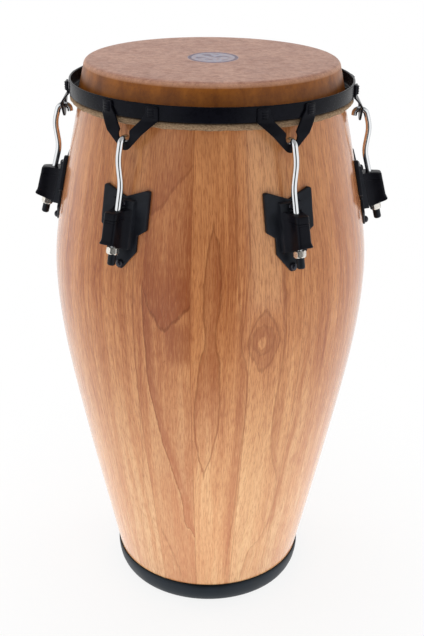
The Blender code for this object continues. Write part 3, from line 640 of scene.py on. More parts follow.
def wood_material():
    n = Nodes("clear_rubberwood")
    coords, x, y, z = n.place()
    radius, theta = n.round_place(x, y)
    share = n.times(n.add(theta, 360.0 - STAVE_SEAM), 1 / STAVE_SPAN)
    index = n.math("MODULO", n.math("FLOOR", share), float(STAVES))
    inside = n.minus(n.math("FRACT", share), 0.5)
    across = n.times(inside, radius, radians(STAVE_SPAN))

    def white(seed):
        made = n.node("ShaderNodeTexWhiteNoise", noise_dimensions="1D")
        n.put(n.add(index, seed), made.inputs["W"])
        return made.outputs["Value"]

    # the grain of each stave wanders on its own
    wander = n.noise(n.vector(n.times(across, 9.0), n.times(index, 3.1), n.times(z, 2.6)), 1.0, 3.0, 0.5)
    sway = n.noise(n.vector(n.times(across, 40.0), n.times(index, 1.7), n.times(z, 14.0)), 1.0, 3.0, 0.55)
    tilt = n.times(n.minus(white(7.13), 0.5), 0.05)
    grain = n.math("MULTIPLY_ADD", n.minus(wander, 0.5), 0.022, across)
    grain = n.math("MULTIPLY_ADD", n.minus(sway, 0.5), 0.004, grain)
    grain = n.math("MULTIPLY_ADD", n.minus(z, 0.4), tilt, grain)

    def streak(width_scale, length_scale, seed, detail=2.0, rough=0.5):
        at = n.vector(n.times(grain, width_scale), n.math("MULTIPLY_ADD", index, 2.3, seed), n.times(z, length_scale))
        return n.noise(at, 1.0, detail, rough)

    bands = streak(70.0, 1.9, 0.0)
    streaks = streak(260.0, 8.0, 31.0, 3.0, 0.6)
    fibres = streak(700.0, 75.0, 57.0)
    mottle = streak(34.0, 13.0, 19.0)
    threads = streak(900.0, 9.0, 71.0)
    pores = n.remap(streak(950.0, 120.0, 83.0, 3.0, 0.65), 0.57, 0.70)

    # thin wandering growth lines
    field = n.math("MULTIPLY_ADD", wander, 2.6, n.times(grain, 62.0))
    phase = n.math("FRACT", n.math("MULTIPLY_ADD", white(3.71), 3.0, field))
    lines = n.times(n.remap(phase, 0.72, 0.97), n.remap(phase, 1.0, 0.97))
    ring_tone = n.remap(phase, 0.1, 0.95)

    # the figure repeats three times round the shell, mirrored and shifted away from the front
    panel = n.math("FLOOR", n.times(n.minus(theta, FIGURE_START), 1 / FIGURE_SPAN))
    front = n.math("COMPARE", panel, 0.0, 0.5)
    local = n.math("MULTIPLY_ADD", panel, -FIGURE_SPAN, theta)
    flipped = n.minus(2 * FIGURE_MIDDLE, local)
    t = n.add(n.times(local, front), n.times(flipped, n.minus(1.0, front)))
    h = n.math("MULTIPLY_ADD", panel, 0.045, z)
    wavy = n.minus(n.noise(n.vector(n.times(theta, 0.50), 3.0, n.times(z, 48.0)), 1.0, 4.0, 0.6), 0.5)
    dark, red, pale, sapwood = wood_figure(n, t, h, wavy)
    figured = n.between(t, -24.0, 34.0, 3.0)
    plain = n.math("MULTIPLY_ADD", figured, -0.75, 1.0)

    tone = n.add(n.times(n.minus(bands, 0.5), 2.1), n.times(n.minus(white(11.9), 0.5), 0.35))
    tone = n.add(tone, n.times(n.minus(streaks, 0.5), 1.3))
    tone = n.add(tone, n.times(n.minus(mottle, 0.5), 0.9))
    tone = n.add(tone, n.times(n.minus(threads, 0.5), 1.2))
    tone = n.add(tone, n.times(n.minus(ring_tone, 0.5), plain, 0.16))
    # painted light: every tone is paler towards the foot, standing in for light bounced up from the floor
    foot = n.remap(z, 0.52, 0.08)
    light = n.mix(foot, srgb(218, 152, 98), srgb(255, 211, 159))
    body = n.mix(foot, srgb(191, 122, 73), srgb(240, 182, 131))
    deep = n.mix(foot, srgb(145, 75, 41), srgb(205, 133, 92))
    line_colour = n.mix(foot, srgb(118, 58, 26), srgb(168, 98, 52))
    colour = n.mix(n.remap(tone, -0.55, 0.15), light, body)
    colour = n.mix(n.times(n.remap(tone, 0.0, 0.75), 0.75), colour, deep)
    colour = n.mix(n.times(red, 0.84), colour, deep)
    # painted light: paler just under the rim, making up for the shade the rim casts
    colour = n.mix(n.remap(z, 0.56, 0.66, 0.0, 0.30), colour, light)
    colour = n.mix(n.times(pale, 0.60), colour, light)
    colour = n.mix(n.times(sapwood, 0.38), colour, srgb(236, 182, 134))
    colour = n.mix(n.times(lines, plain, 0.13), colour, line_colour)
    colour = n.mix(n.times(dark, 0.72), colour, line_colour)
    colour = n.mix(n.times(n.remap(fibres, 0.42, 0.75), 0.58), colour, deep)
    colour = n.mix(n.times(n.remap(fibres, 0.52, 0.25), 0.26), colour, light)
    colour = n.mix(n.times(pores, 0.46), colour, line_colour)
    gap = n.times(n.minus(0.5, n.math("ABSOLUTE", inside)), radius, radians(STAVE_SPAN))
    seam = n.remap(gap, 0.0007, 0.0001)
    colour = n.mix(n.times(seam, 0.44), colour, line_colour)
    height = n.minus(1.0, n.add(n.times(pores, 0.6), seam))
    rough = n.remap(streaks, 0.2, 0.8, 0.24, 0.34)
    return n.finish(colour, rough, normal=n.bump(height, 0.10, 0.0002), IOR=1.3, Coat_Weight=0.8, Coat_Roughness=0.12, Coat_IOR=1.3)


def skin_material():
    n = Nodes("cowhide_head")
    coords, x, y, z = n.place()
    radius, theta = n.round_place(x, y)
    cloud = n.noise(coords, 22.0, 5.0, 0.62)
    blotch = n.noise(coords, 75.0, 4.0, 0.6)
    fine = n.noise(coords, 210.0, 4.0, 0.7)
    speck = n.remap(n.noise(coords, 520.0, 2.0, 0.6), 0.62, 0.72)
    hair = n.noise(n.vector(n.times(x, 110.0), n.times(y, 420.0), n.times(z, 420.0)), 1.0, 3.0, 0.65)
    top = n.mix(n.remap(cloud, 0.30, 0.70), srgb(188, 140, 118), srgb(170, 122, 102))
    top = n.mix(n.times(n.remap(blotch, 0.42, 0.70), 0.50), top, srgb(150, 98, 76))
    top = n.mix(n.times(n.remap(fine, 0.48, 0.66), 0.42), top, srgb(126, 80, 60))
    top = n.mix(n.times(n.remap(fine, 0.48, 0.32), 0.34), top, srgb(212, 166, 142))
    top = n.mix(n.times(n.remap(hair, 0.52, 0.72), 0.50), top, srgb(116, 72, 54))
    top = n.mix(n.times(n.remap(hair, 0.46, 0.30), 0.42), top, srgb(214, 172, 152))
    smear = n.noise(n.vector(n.times(theta, 0.10), n.times(z, 14.0), 0.0), 1.0, 4.0, 0.6)
    side = n.mix(n.remap(smear, 0.3, 0.7), srgb(168, 98, 26), srgb(130, 70, 12))
    side = n.mix(n.times(n.remap(blotch, 0.42, 0.72), 0.35), side, srgb(100, 52, 18))
    side = n.mix(n.times(n.remap(fine, 0.45, 0.70), 0.25), side, srgb(84, 42, 16))
    colour = n.mix(n.remap(z, CROWN_Z - 0.0066, CROWN_Z - 0.0026), side, top)
    # painted highlight: a paler band along the rolled edge of the crown
    painted_roll_highlight = n.between(z, CROWN_Z - 0.0050, CROWN_Z - 0.0022, 0.0015)
    colour = n.mix(n.times(painted_roll_highlight, 0.30), colour, srgb(210, 156, 116))
    colour = n.mix(n.times(speck, 0.45), colour, srgb(84, 48, 34))

    # a plain faded stamp
    aside = n.times(n.minus(x, 0.001), 1 / 0.0322)
    ahead = n.times(n.minus(y, -0.001), 1 / 0.037)
    oval = n.math("SQRT", n.add(n.times(aside, aside), n.times(ahead, ahead)))
    ringed = n.remap(n.math("ABSOLUTE", n.minus(oval, 0.90)), 0.09, 0.04)
    marks = n.remap(n.noise(coords, 95.0, 1.0, 0.5), 0.50, 0.58)
    ink = n.times(marks, n.remap(oval, 0.72, 0.62), 0.75)
    print_colour = n.mix(n.most(ringed, ink), srgb(158, 158, 176), srgb(70, 68, 100))
    worn = n.remap(n.noise(coords, 260.0, 3.0, 0.6), 0.35, 0.60, 0.55, 0.95)
    stamped = n.times(n.remap(oval, 1.0, 0.96), worn, n.remap(z, CROWN_Z - 0.003, CROWN_Z - 0.001))
    colour = n.mix(stamped, colour, print_colour)

    # the folded edge is paler, with short hairs and wrinkles, and painted shade under the rim
    fold = n.remap(z, RIM_BOTTOM_Z + 0.001, RIM_BOTTOM_Z - 0.0005)
    wrinkle = n.noise(n.vector(n.times(theta, 1.1), n.times(z, 700.0), radius), 1.0, 4.0, 0.65)
    fuzz = n.noise(n.vector(n.times(theta, 5.0), n.times(z, 260.0), 0.0), 1.0, 3.0, 0.7)
    cream = n.mix(n.remap(wrinkle, 0.3, 0.7), srgb(172, 146, 116), srgb(112, 88, 66))
    cream = n.mix(n.times(n.remap(fuzz, 0.5, 0.75), 0.6), cream, srgb(92, 72, 54))
    # painted shade: the fold darkens towards the rim's lower edge, under the rim
    cream = n.mix(n.times(n.remap(z, RIM_BOTTOM_Z - 0.0022, RIM_BOTTOM_Z - 0.0008), 0.75), cream, srgb(60, 46, 38))
    colour = n.mix(fold, colour, cream)
    grain = n.add(n.times(fine, 0.7), n.times(hair, 0.4))
    height = n.add(grain, n.times(n.add(wrinkle, fuzz), fold, 2.2))
    rough = n.remap(n.most(fold, n.times(blotch, 0.25)), 0.0, 1.0, 0.36, 0.90, smoothed=False)
    return n.finish(colour, rough, normal=n.bump(height, 0.35, 0.0003), Specular_IOR_Level=0.32)


def powder_coat(name, base, rough, edge, level):
    n = Nodes(name)
    coords, x, y, z = n.place()
    grain = n.noise(coords, 1500.0, 2.0, 0.5)
    cloud = n.noise(coords, 70.0, 3.0, 0.55)
    worn = n.noise(coords, 260.0, 4.0, 0.6)
    pointed = n.node("ShaderNodeNewGeometry").outputs["Pointiness"]
    edges = n.times(n.remap(pointed, 0.53, 0.60), n.remap(worn, 0.35, 0.65, 0.3, 1.0))
    colour = n.mix(n.remap(cloud, 0.3, 0.7), base, tuple(v * 1.6 for v in base))
    colour = n.mix(n.times(edges, 0.6), colour, edge)
    roughness = n.remap(cloud, 0.2, 0.8, rough[0], rough[1])
    return n.finish(colour, roughness, normal=n.bump(grain, 0.14, 0.00006), Specular_IOR_Level=level,
                    Specular_Tint=(0.84, 0.90, 1.0, 1.0))


def rubber(name, low, high):
    n = Nodes(name)
    coords, x, y, z = n.place()
    grain = n.noise(coords, 900.0, 3.0, 0.6)
    dust = n.noise(coords, 34.0, 4.0, 0.6)
    colour = n.mix(n.remap(dust, 0.35, 0.75), low, high)
    # painted shadow: the foot ring darkens to black at its top edge, in the gap below the wood
    colour = n.mix(n.remap(z, BASE_TOP_Z - 0.0040, BASE_TOP_Z - 0.0015), colour, (0.001, 0.001, 0.001))
    roughness = n.remap(dust, 0.2, 0.8, 0.40, 0.55)
    return n.finish(colour, roughness, normal=n.bump(grain, 0.2, 0.0001), Specular_IOR_Level=0.35,
                    Specular_Tint=(0.70, 0.86, 1.0, 1.0))


def plated(name, colour, low, high, strength, edge=1.0, metallic=1.0):
    n = Nodes(name)
    coords, x, y, z = n.place()
    haze = n.noise(coords, 60.0, 4.0, 0.6)
    lines = n.noise(n.vector(n.times(x, 900.0), n.times(y, 900.0), n.times(z, 60.0)), 1.0, 2.0, 0.5)
    rough = n.remap(haze, 0.3, 0.7, low, high)
    tint = n.mix(n.remap(haze, 0.3, 0.7), colour, tuple(v * 0.94 for v in colour))
    normal = n.bump(lines, strength, 0.00005)
    return n.finish(tint, rough, metallic, normal=normal, Specular_Tint=(edge, edge, edge, 1.0))


def floor_material():
    """A white floor that keeps a soft shadow: what the camera and mirrors see is partly plain white."""
    n = Nodes("studio_floor")
    coords, x, y, z = n.place()
    tone = n.mix(n.noise(coords, 3.0, 2.0, 0.5), (0.92, 0.92, 0.92), (0.94, 0.94, 0.94))
    n.finish(tone, 0.9, Specular_IOR_Level=0.0)
    path = n.node("ShaderNodeLightPath")
    seen = n.most(*(path.outputs[f"Is {kind} Ray"] for kind in ("Camera", "Glossy", "Transmission")))
    glow = n.node("ShaderNodeEmission")
    blend = n.node("ShaderNodeMixShader")
    reach, _ = n.round_place(x, y)
    n.put(n.times(seen, n.remap(reach, 0.15, 0.65, 0.86, 1.0)), blend.inputs[0])
    n.put(n.shader.outputs[0], blend.inputs[1])
    n.put(glow.outputs[0], blend.inputs[2])
    n.put(blend.outputs[0], n.tree.nodes["Material Output"].inputs["Surface"])
    return n.material


# Pieces
def add(name, mesh, mat, body, slot, *nodes, place=None):
    obj = new_object(name, mesh, mat)
    if place is not None:
        obj.matrix_world = place
    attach(obj, body)
    if nodes:
        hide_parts(*nodes)
    return obj


def shell_mesh():
    top = SHELL_TOP_Z - EDGE_R
    outside = [top + (FOOT_Z - top) * i / 64 for i in range(65)]
    inside = [top + (FOOT_Z - top) * i / 24 for i in range(25)]
    profile = arc(shell_radius(top) - EDGE_R, top, EDGE_R, 90, 0, 5)[:-1]
    profile += [(shell_radius(z), z) for z in outside]
    profile += [(shell_radius(z) - SHELL_WALL, z) for z in reversed(inside)]
    return lathe("wood_shell", profile, STAVES * 10)


def skin_mesh():
    """Playing surface, roll, collar and folded edge in one skin."""
    edge_z = SHELL_TOP_Z - EDGE_R
    edge_r = shell_radius(edge_z) - EDGE_R
    out_r = EDGE_R + CLEAR + SKIN_T
    outer = [(r, CROWN_Z) for r in (0.0, 0.03, 0.06, 0.09, 0.12, 0.14)]
    outer += arc(edge_r, edge_z, out_r, 90, 0, 8)
    for i in range(1, 9):
        z = edge_z + (RIM_BOTTOM_Z + 0.0005 - edge_z) * i / 8
        outer.append((collar_radius(z), z))
    fold_top = RIM_BOTTOM_Z - CLEAR
    fold = [(collar_radius(fold_top) + 0.001, fold_top - 0.0001), (HOOP_RING_R - 0.002, fold_top)]
    fold += arc(HOOP_RING_R, HOOP_Z, TUCK_R, 80, -100, 10)
    fold += [(collar_radius(HOOP_Z) + 0.0006, HOOP_Z - TUCK_R * 0.86)]
    inner = [(shell_radius(COLLAR_END_Z) + CLEAR, COLLAR_END_Z - 0.0018)]
    for i in range(9):
        z = COLLAR_END_Z + (edge_z - COLLAR_END_Z) * i / 8
        inner.append((shell_radius(z) + CLEAR, z))
    inner += arc(edge_r, edge_z, EDGE_R + CLEAR, 0, 90, 5)[1:]
    inner += [(0.12, CROWN_Z - SKIN_T), (0.0, CROWN_Z - SKIN_T)]
    profile = outer + fold + inner
    first_fold = len(outer) + 2
    last_fold = len(outer) + len(fold)

    def wobble(index, a):
        if not first_fold < index < last_fold:
            return 0.0, 0.0
        wave = sin(23 * a + 1.3) + 0.8 * sin(41 * a + 0.4) + 0.6 * sin(67 * a + 2.1) + 0.5 * sin(97 * a)
        lower = max(0.0, min(1.0, (HOOP_Z + TUCK_R - profile[index][1]) / (2 * TUCK_R)))
        return 0.00016 * wave, -0.00022 * wave * lower

    return lathe("skin_head", profile, 288, closed=False, wobble=wobble)


def rim_mesh():
    """A steel band with a rounded top edge and a flange turned in at the bottom."""
    bead = RIM_WALL / 2
    round_r = 0.001
    flange_z = RIM_BOTTOM_Z + RIM_FLANGE_T
    flange_r = collar_radius(COLLAR_END_Z) + CLEAR
    profile = arc(RIM_R - bead, RIM_TOP_Z - bead, bead, 180, 0, 10)
    profile += arc(RIM_R - round_r, RIM_BOTTOM_Z + round_r, round_r, 0, -90, 4)
    profile += [(flange_r + 0.0006, RIM_BOTTOM_Z), (flange_r, RIM_BOTTOM_Z + 0.0006)]
    profile += [(flange_r, flange_z - 0.0006), (flange_r + 0.0006, flange_z)]
    profile += arc(RIM_R - RIM_WALL - 0.0015, flange_z + 0.0015, 0.0015, -90, 0, 3)
    return lathe("rim_band", profile, 216)


def bracket_mesh():
    """The V plate with a ridged boss on each arm; below the rim it leans out to the flat eye."""
    arm_in = BRACKET_HALF_W - BRACKET_ARM_W
    eye_z = EYE_Z + BRACKET_EYE_R
    eye = arc(0.0, eye_z, BRACKET_EYE_R, -90, 20, 10)
    tip = arc(0.0, BRACKET_TIP_Z + BRACKET_TIP_R, BRACKET_TIP_R, -45, -90, 5)
    corners = [
        eye[-1],
        (BRACKET_NOTCH_HALF_W, BRACKET_NOTCH_Z),
        (BRACKET_MOUTH_HALF_W, RIM_BOTTOM_Z),
        (arm_in, RIM_BOTTOM_Z + RIM_H / 2),
        (arm_in, BRACKET_ARM_TOP_Z),
        (BRACKET_HALF_W, BRACKET_ARM_TOP_Z),
        (BRACKET_HALF_W, RIM_BOTTOM_Z),
        tip[0],
    ]
    radii = (0.0008, 0.002, 0.003, BRACKET_CORNER_R, BRACKET_CORNER_R, 0.003)
    sides = [tuple(point) for point in filleted(corners, radii, (2, 3, 3, 4, 4, 3))]
    outline = mirrored(eye[:-1] + sides[:-1] + tip)

    boss_x = BRACKET_HALF_W - BRACKET_ARM_W / 2
    bend_bottom = RIM_BOTTOM_Z - BRACKET_BEND_H
    edge_steps = [BOSS_HALF_W * s for s in (-1.0, -0.85, -0.65, -0.4, 0.0, 0.4, 0.65, 0.85, 1.0)]
    cuts_x = [side * (boss_x + s) for side in (-1, 1) for s in edge_steps]
    ridge_count = round((BOSS_TOP_Z - BOSS_BOTTOM_Z) / BOSS_RIDGE_PITCH * 6)
    cuts_y = [BOSS_BOTTOM_Z + (BOSS_TOP_Z - BOSS_BOTTOM_Z) * i / ridge_count for i in range(ridge_count + 1)]
    cuts_y += [RIM_BOTTOM_Z, bend_bottom]
    mesh = slab("v_bracket", outline, BRACKET_T, 0.0006, 0.0022, cuts_x, cuts_y)

    def faces(x, z):
        share = min(max((RIM_BOTTOM_Z - z) / BRACKET_BEND_H, 0.0), 1.0)
        back = sqrt(BRACKET_FOOT_R ** 2 - x ** 2) * (1 - share) + BRACKET_FACE_R * share
        aside = abs(abs(x) - boss_x) / BOSS_HALF_W
        swell = sqrt(max(0.0, 1 - aside ** 3.0)) * ease(z, BOSS_BOTTOM_Z, BOSS_BOTTOM_Z + 0.002)
        swell *= ease(z, BOSS_TOP_Z, BOSS_TOP_Z - 0.0022)
        ridge = 0.5 - 0.5 * cos(2 * pi * (z - BOSS_BOTTOM_Z) / BOSS_RIDGE_PITCH)
        boss = (BRACKET_PAD_T - BRACKET_T) * swell - BOSS_RIDGE_H * (1 - ridge) * swell
        return back, back + BRACKET_T + boss

    return bend(mesh, BRACKET_T, faces)


def hook_mesh():
    """The bent rod in the lug's upright plane, with its straight part along the block's bore."""
    foot = BLOCK_H + CLEAR + NUT_H + CLEAR + ROD_END_IN_CAP
    face_r = BRACKET_FACE_R + BRACKET_T
    inside_r = BRACKET_FACE_R - HOOK_INSIDE
    corners = [
        (ROD_TOP_R + foot * sin(ROD_LEAN), LUG_Z - foot * cos(ROD_LEAN)),
        (ROD_TOP_R - HOOK_BEND_RISE * tan(ROD_LEAN), LUG_Z + HOOK_BEND_RISE),
        (face_r + HOOK_REACH, HOOK_TOP_Z - HOOK_SHOULDER_DROP),
        (face_r + HOOK_TOP_REACH, HOOK_TOP_Z),
        (inside_r, HOOK_TOP_Z),
        (inside_r - HOOK_END_IN, HOOK_TOP_Z - HOOK_END_DROP),
    ]
    radii = (HOOK_BEND_R, HOOK_BEND_R, HOOK_TOP_BEND_R, HOOK_END_BEND_R)
    path = filleted(corners, radii, (8, 8, 10, 8))
    return tube("hook_rod", [(0.0, -(r - ROD_TOP_R), z - LUG_Z) for r, z in path], ROD_R, 7)


def plate_mesh():
    """A cast plate, hollowed to the wood behind and flat across in front, with a pad for the block."""
    half = [
        (PLATE_TOP_HALF_W, PLATE_TOP_Z),
        (PLATE_HALF_W, PLATE_TOP_Z - CLEAR),
        (PLATE_HALF_W, PLATE_SHOULDER_Z),
        (PLATE_TAIL_HALF_W, PLATE_SHOULDER_Z - PLATE_SHOULDER_H),
        (PLATE_TAIL_HALF_W, PLATE_TAIL_Z),
        (PLATE_CORNER_R, PLATE_TIP_Z),
    ]
    corners = [(0.0, PLATE_NOTCH_Z)] + half + [(-x, z) for x, z in reversed(half)]
    outline = rounded(corners, PLATE_CORNER_R * 0.8, 4)
    ramp_steps = [PAD_RAMP * s for s in (0.0, 0.33, 0.67, 1.0)]
    cuts_x = [side * (PAD_HALF_W + s) for side in (-1, 1) for s in ramp_steps]
    cuts_y = [PAD_TOP_Z + s for s in ramp_steps] + [PAD_BOTTOM_Z - s for s in ramp_steps]
    mesh = slab("wing_plate", outline, PLATE_T, 0.0007, 0.003, cuts_x, cuts_y)

    def faces(x, z):
        radius = shell_radius(z) + CLEAR
        front = radius + PLATE_T
        lift = ease(abs(x), PAD_HALF_W + PAD_RAMP, PAD_HALF_W)
        lift *= ease(z, PAD_TOP_Z + PAD_RAMP, PAD_TOP_Z) * ease(z, PAD_BOTTOM_Z - PAD_RAMP, PAD_BOTTOM_Z)
        front += (pad_plane_radius(z) - front) * lift
        return sqrt(radius ** 2 - x ** 2), front

    return bend(mesh, PLATE_T, faces)


def block_outline():
    """Block seen along the rod: rounded front corners, and sides that sweep out to its back."""
    back = PAD_BACK - CLEAR
    start = BLOCK_CORNER_R - BLOCK_FRONT
    half = [(0.0, -BLOCK_FRONT)]
    half += arc(BLOCK_W / 2 - BLOCK_CORNER_R, start, BLOCK_CORNER_R, -90, 0, 6)
    for i in range(1, 10):
        share = i / 9
        sweep = (BLOCK_BACK_W - BLOCK_W) / 2 * share ** 3.8
        half.append((BLOCK_W / 2 + sweep, start + (back - start) * share))
    return mirrored(half + [(0.0, back)])


def block_mesh():
    """Block with a level lid, a groove under the lid and a flared foot, in the rod's frame."""
    back = PAD_BACK - CLEAR
    edge = BLOCK_EDGE_R
    lid = BLOCK_LID_H
    groove = BLOCK_GROOVE
    flare_top = BLOCK_FLARE_H - BLOCK_H
    levels = [(0.0, -edge), (-edge * 0.3, -edge * 0.4), (-edge, 0.0)]
    levels += [(-lid, 0.0), (-lid - 0.0003, -groove), (-lid - 0.0010, -groove), (-lid - 0.0013, 0.0)]
    levels += [(-lid - 0.0028, 0.0), (-lid - 0.0030, -groove / 2), (-lid - 0.0034, -groove / 2), (-lid - 0.0036, 0.0)]
    for i in range(9):
        share = i / 8
        levels.append((flare_top - (BLOCK_FLARE_H - 0.0014) * share, BLOCK_FLARE * share ** 1.6))
    levels += [(-BLOCK_H + 0.0005, BLOCK_FLARE), (-BLOCK_H, BLOCK_FLARE - 0.0005)]
    shape = bmesh.new()
    rings = []
    for depth, grow in levels:
        level = ease(depth, flare_top, -lid - 0.0036)
        ring = []
        for x, y in block_outline():
            ahead = (back - y) / (back + BLOCK_FRONT)
            px = x * (1 + ahead * grow / (BLOCK_W / 2))
            py = y - ahead * grow
            rise = BLOCK_FRONT_RISE * max(0.0, -py) / BLOCK_FRONT * ease(depth, flare_top, -BLOCK_H)
            ring.append(shape.verts.new((px, py, depth + py * tan(ROD_LEAN) * level + rise)))
        rings.append(ring)
    count = len(rings[0])
    for a, b in zip(rings, rings[1:]):
        for k in range(count):
            m = (k + 1) % count
            shape.faces.new((a[k], a[m], b[m], b[k]))
    shape.faces.new(rings[0])
    shape.faces.new(rings[-1])
    obj = new_object("rod_block", from_shape("rod_block", shape))
    bore = bmesh.new()
    bmesh.ops.create_cone(bore, cap_ends=True, segments=32, radius1=ROD_R + CLEAR, radius2=ROD_R + CLEAR, depth=0.12)
    cutter = new_object("rod_bore", from_shape("rod_bore", bore))
    cut = obj.modifiers.new("bore", "BOOLEAN")
    cut.operation = "DIFFERENCE"
    cut.object = cutter
    made = baked(obj, "rod_block", 40)
    bpy.data.objects.remove(cutter)
    return made


def nut_mesh():
    """Hexagon nut with rounded ends to its corners."""
    flats = NUT_ACROSS_FLATS / 2
    round_r = flats / cos(pi / 6)
    bore = ROD_R + CLEAR
    sides = 48
    levels = ((0.0, 0.85), (-0.0006, 0.93), (-0.0013, 1.0), (-0.0062, 1.0), (-0.0072, 0.93), (-NUT_H, 0.85))
    shape = bmesh.new()
    rings = []
    for depth, limit in levels:
        ring = []
        for k in range(sides):
            a = 2 * pi * k / sides
            near = (a % (pi / 3)) - pi / 6
            r = min(flats / cos(near), round_r * limit)
            ring.append(shape.verts.new((r * cos(a), r * sin(a), depth)))
        rings.append(ring)
    for depth in (-NUT_H, 0.0):
        turns = [2 * pi * k / sides for k in range(sides)]
        rings.append([shape.verts.new((bore * cos(a), bore * sin(a), depth)) for a in turns])
    for a, b in list(zip(rings, rings[1:])) + [(rings[-1], rings[0])]:
        for k in range(sides):
            m = (k + 1) % sides
            shape.faces.new((a[k], a[m], b[m], b[k]))
    return from_shape("draw_nut", shape, 24)


def cap_mesh():
    bore = ROD_R + CLEAR
    depth = ROD_END_IN_CAP + CLEAR
    profile = [(0.0, -depth), (bore, -depth), (bore, 0.0), (CAP_R - 0.0004, 0.0), (CAP_R, -0.0004)]
    profile += arc(CAP_R - CAP_ROUND_R, -CAP_L + CAP_ROUND_R, CAP_ROUND_R, 0, -90, 6) + [(0.0, -CAP_L)]
    return lathe("rod_end_cap", profile, 32, closed=False)


def bolt_mesh(name, head):
    """Domed head above height 0 with a short edge, and its shank."""
    head_r, head_h = head
    edge = head_h * 0.18
    dome = [(head_r * cos(radians(a)), edge + (head_h - edge) * sin(radians(a))) for a in (75, 60, 45, 30, 15, 0)]
    profile = [(0.0, head_h)] + dome + [(head_r, 0.0), (BOLT_R, 0.0), (BOLT_R, -BOLT_L), (0.0, -BOLT_L)]
    return lathe(name, profile, 32, closed=False)


def foot_mesh():
    """Rubber ring: a lip up the outside of the foot and a floor under it."""
    lip_r = shell_radius(BASE_TOP_Z) + CLEAR
    pocket = FOOT_Z - CLEAR
    inner_r = shell_radius(FOOT_Z) - SHELL_WALL - 0.004
    out_r = lip_r + 0.0016
    profile = [(lip_r, 0.0308), (lip_r + 0.0005, 0.031), (out_r - 0.0004, 0.0308), (out_r, 0.0302)]
    profile += [(out_r, 0.024), (out_r - 0.0006, 0.018), (out_r - 0.0020, 0.011), (out_r - 0.0042, 0.0055)]
    profile += [(out_r - 0.0062, 0.0022), (out_r - 0.0085, 0.0004), (out_r - 0.0100, 0.0)]
    profile += [(inner_r + 0.0006, 0.0), (inner_r, 0.0008), (inner_r, pocket - 0.0006), (inner_r + 0.0006, pocket)]
    profile += [(shell_radius(pocket) + CLEAR, pocket), (shell_radius(0.02) + CLEAR, 0.02)]
    return lathe("foot_ring", profile, 216)


# Studio
def world_light(camera_azimuth):
    """White surroundings, lit less from above, with a dark strip behind the camera in reflections."""
    world = bpy.data.worlds.new("studio")
    bpy.context.scene.world = world
    world.use_nodes = True
    tree = world.node_tree
    tree.nodes.clear()

    def node(kind, *values, **settings):
        made = tree.nodes.new(kind)
        for key, value in settings.items():
            setattr(made, key, value)
        for value, socket in zip(values, made.inputs):
            if isinstance(value, bpy.types.NodeSocket):
                tree.links.new(value, socket)
            else:
                socket.default_value = value
        return made

    def math(operation, a, b=0.0):
        return node("ShaderNodeMath", a, b, operation=operation).outputs[0]

    def ramp(value, a, b, c, d):
        return node("ShaderNodeMapRange", value, a, b, c, d, interpolation_type="SMOOTHSTEP").outputs[0]

    direction = node("ShaderNodeTexCoord").outputs["Generated"]
    x, y, z = node("ShaderNodeSeparateXYZ", direction).outputs
    flat = math("SQRT", math("ADD", math("MULTIPLY", x, x), math("MULTIPLY", y, y)))
    ahead = math("ADD", math("MULTIPLY", x, sin(camera_azimuth)), math("MULTIPLY", y, -cos(camera_azimuth)))
    facing = math("DIVIDE", ahead, math("MAXIMUM", flat, 1e-4))
    strip = math("MULTIPLY", ramp(facing, cos(radians(30)), cos(radians(12)), 0.0, 1.0), ramp(z, 0.9, 0.6, 0.0, 1.0))
    strip = math("MULTIPLY", strip, ramp(z, -0.80, -0.58, 0.0, 1.0))
    mirrored_light = math("MULTIPLY", math("SUBTRACT", 1.0, math("MULTIPLY", strip, 0.95)), ramp(z, 0.35, 0.8, 1.0, 0.4))
    lit = node("ShaderNodeBackground", (1, 1, 1, 1), ramp(z, -0.1, 0.8, 0.56, 0.46))
    shown = node("ShaderNodeBackground", (1, 1, 1, 1), mirrored_light)
    seen = node("ShaderNodeBackground", (1, 1, 1, 1), 1.0)
    path = node("ShaderNodeLightPath")
    mirror = math("MAXIMUM", path.outputs["Is Glossy Ray"], path.outputs["Is Transmission Ray"])
    first = node("ShaderNodeMixShader", mirror, lit.outputs[0], shown.outputs[0])
    last = node("ShaderNodeMixShader", path.outputs["Is Camera Ray"], first.outputs[0], seen.outputs[0])
    node("ShaderNodeOutputWorld", last.outputs[0])


def lamp(name, location, target, width, height, power):
    light = bpy.data.lights.new(name, "AREA")
    light.energy = power
    light.shape = "RECTANGLE"
    light.size = width
    light.size_y = height
    obj = bpy.data.objects.new(name, light)
    bpy.context.scene.collection.objects.link(obj)
    obj.location = location
    obj.rotation_euler = (Vector(target) - Vector(location)).to_track_quat("-Z", "Y").to_euler()
    obj.visible_camera = False
    obj.visible_glossy = False


def studio(camera_azimuth):
    bpy.context.scene.view_settings.view_transform = "Standard"
    world_light(camera_azimuth)
    shape = bmesh.new()
    bmesh.ops.create_grid(shape, x_segments=1, y_segments=1, size=12)
    floor = new_object("floor", from_shape("floor", shape), floor_material())
    floor.visible_glossy = False
    lamp("low_left", (-0.70, -0.95, 0.14), (0, 0, 0.05), 0.8, 0.22, 2.6)
    lamp("low_right", (0.75, -0.90, 0.14), (0, 0, 0.05), 0.8, 0.22, 2.6)
    lamp("edge_left", (-1.2, 0.6, 0.25), (0, 0, 0.12), 0.6, 0.45, 9)
    lamp("edge_right", (1.2, 0.6, 0.25), (0, 0, 0.12), 0.6, 0.45, 9)
    lamp("top", (-0.3, 0.1, 2.4), (0, 0, 0.7), 1.6, 1.6, 16)


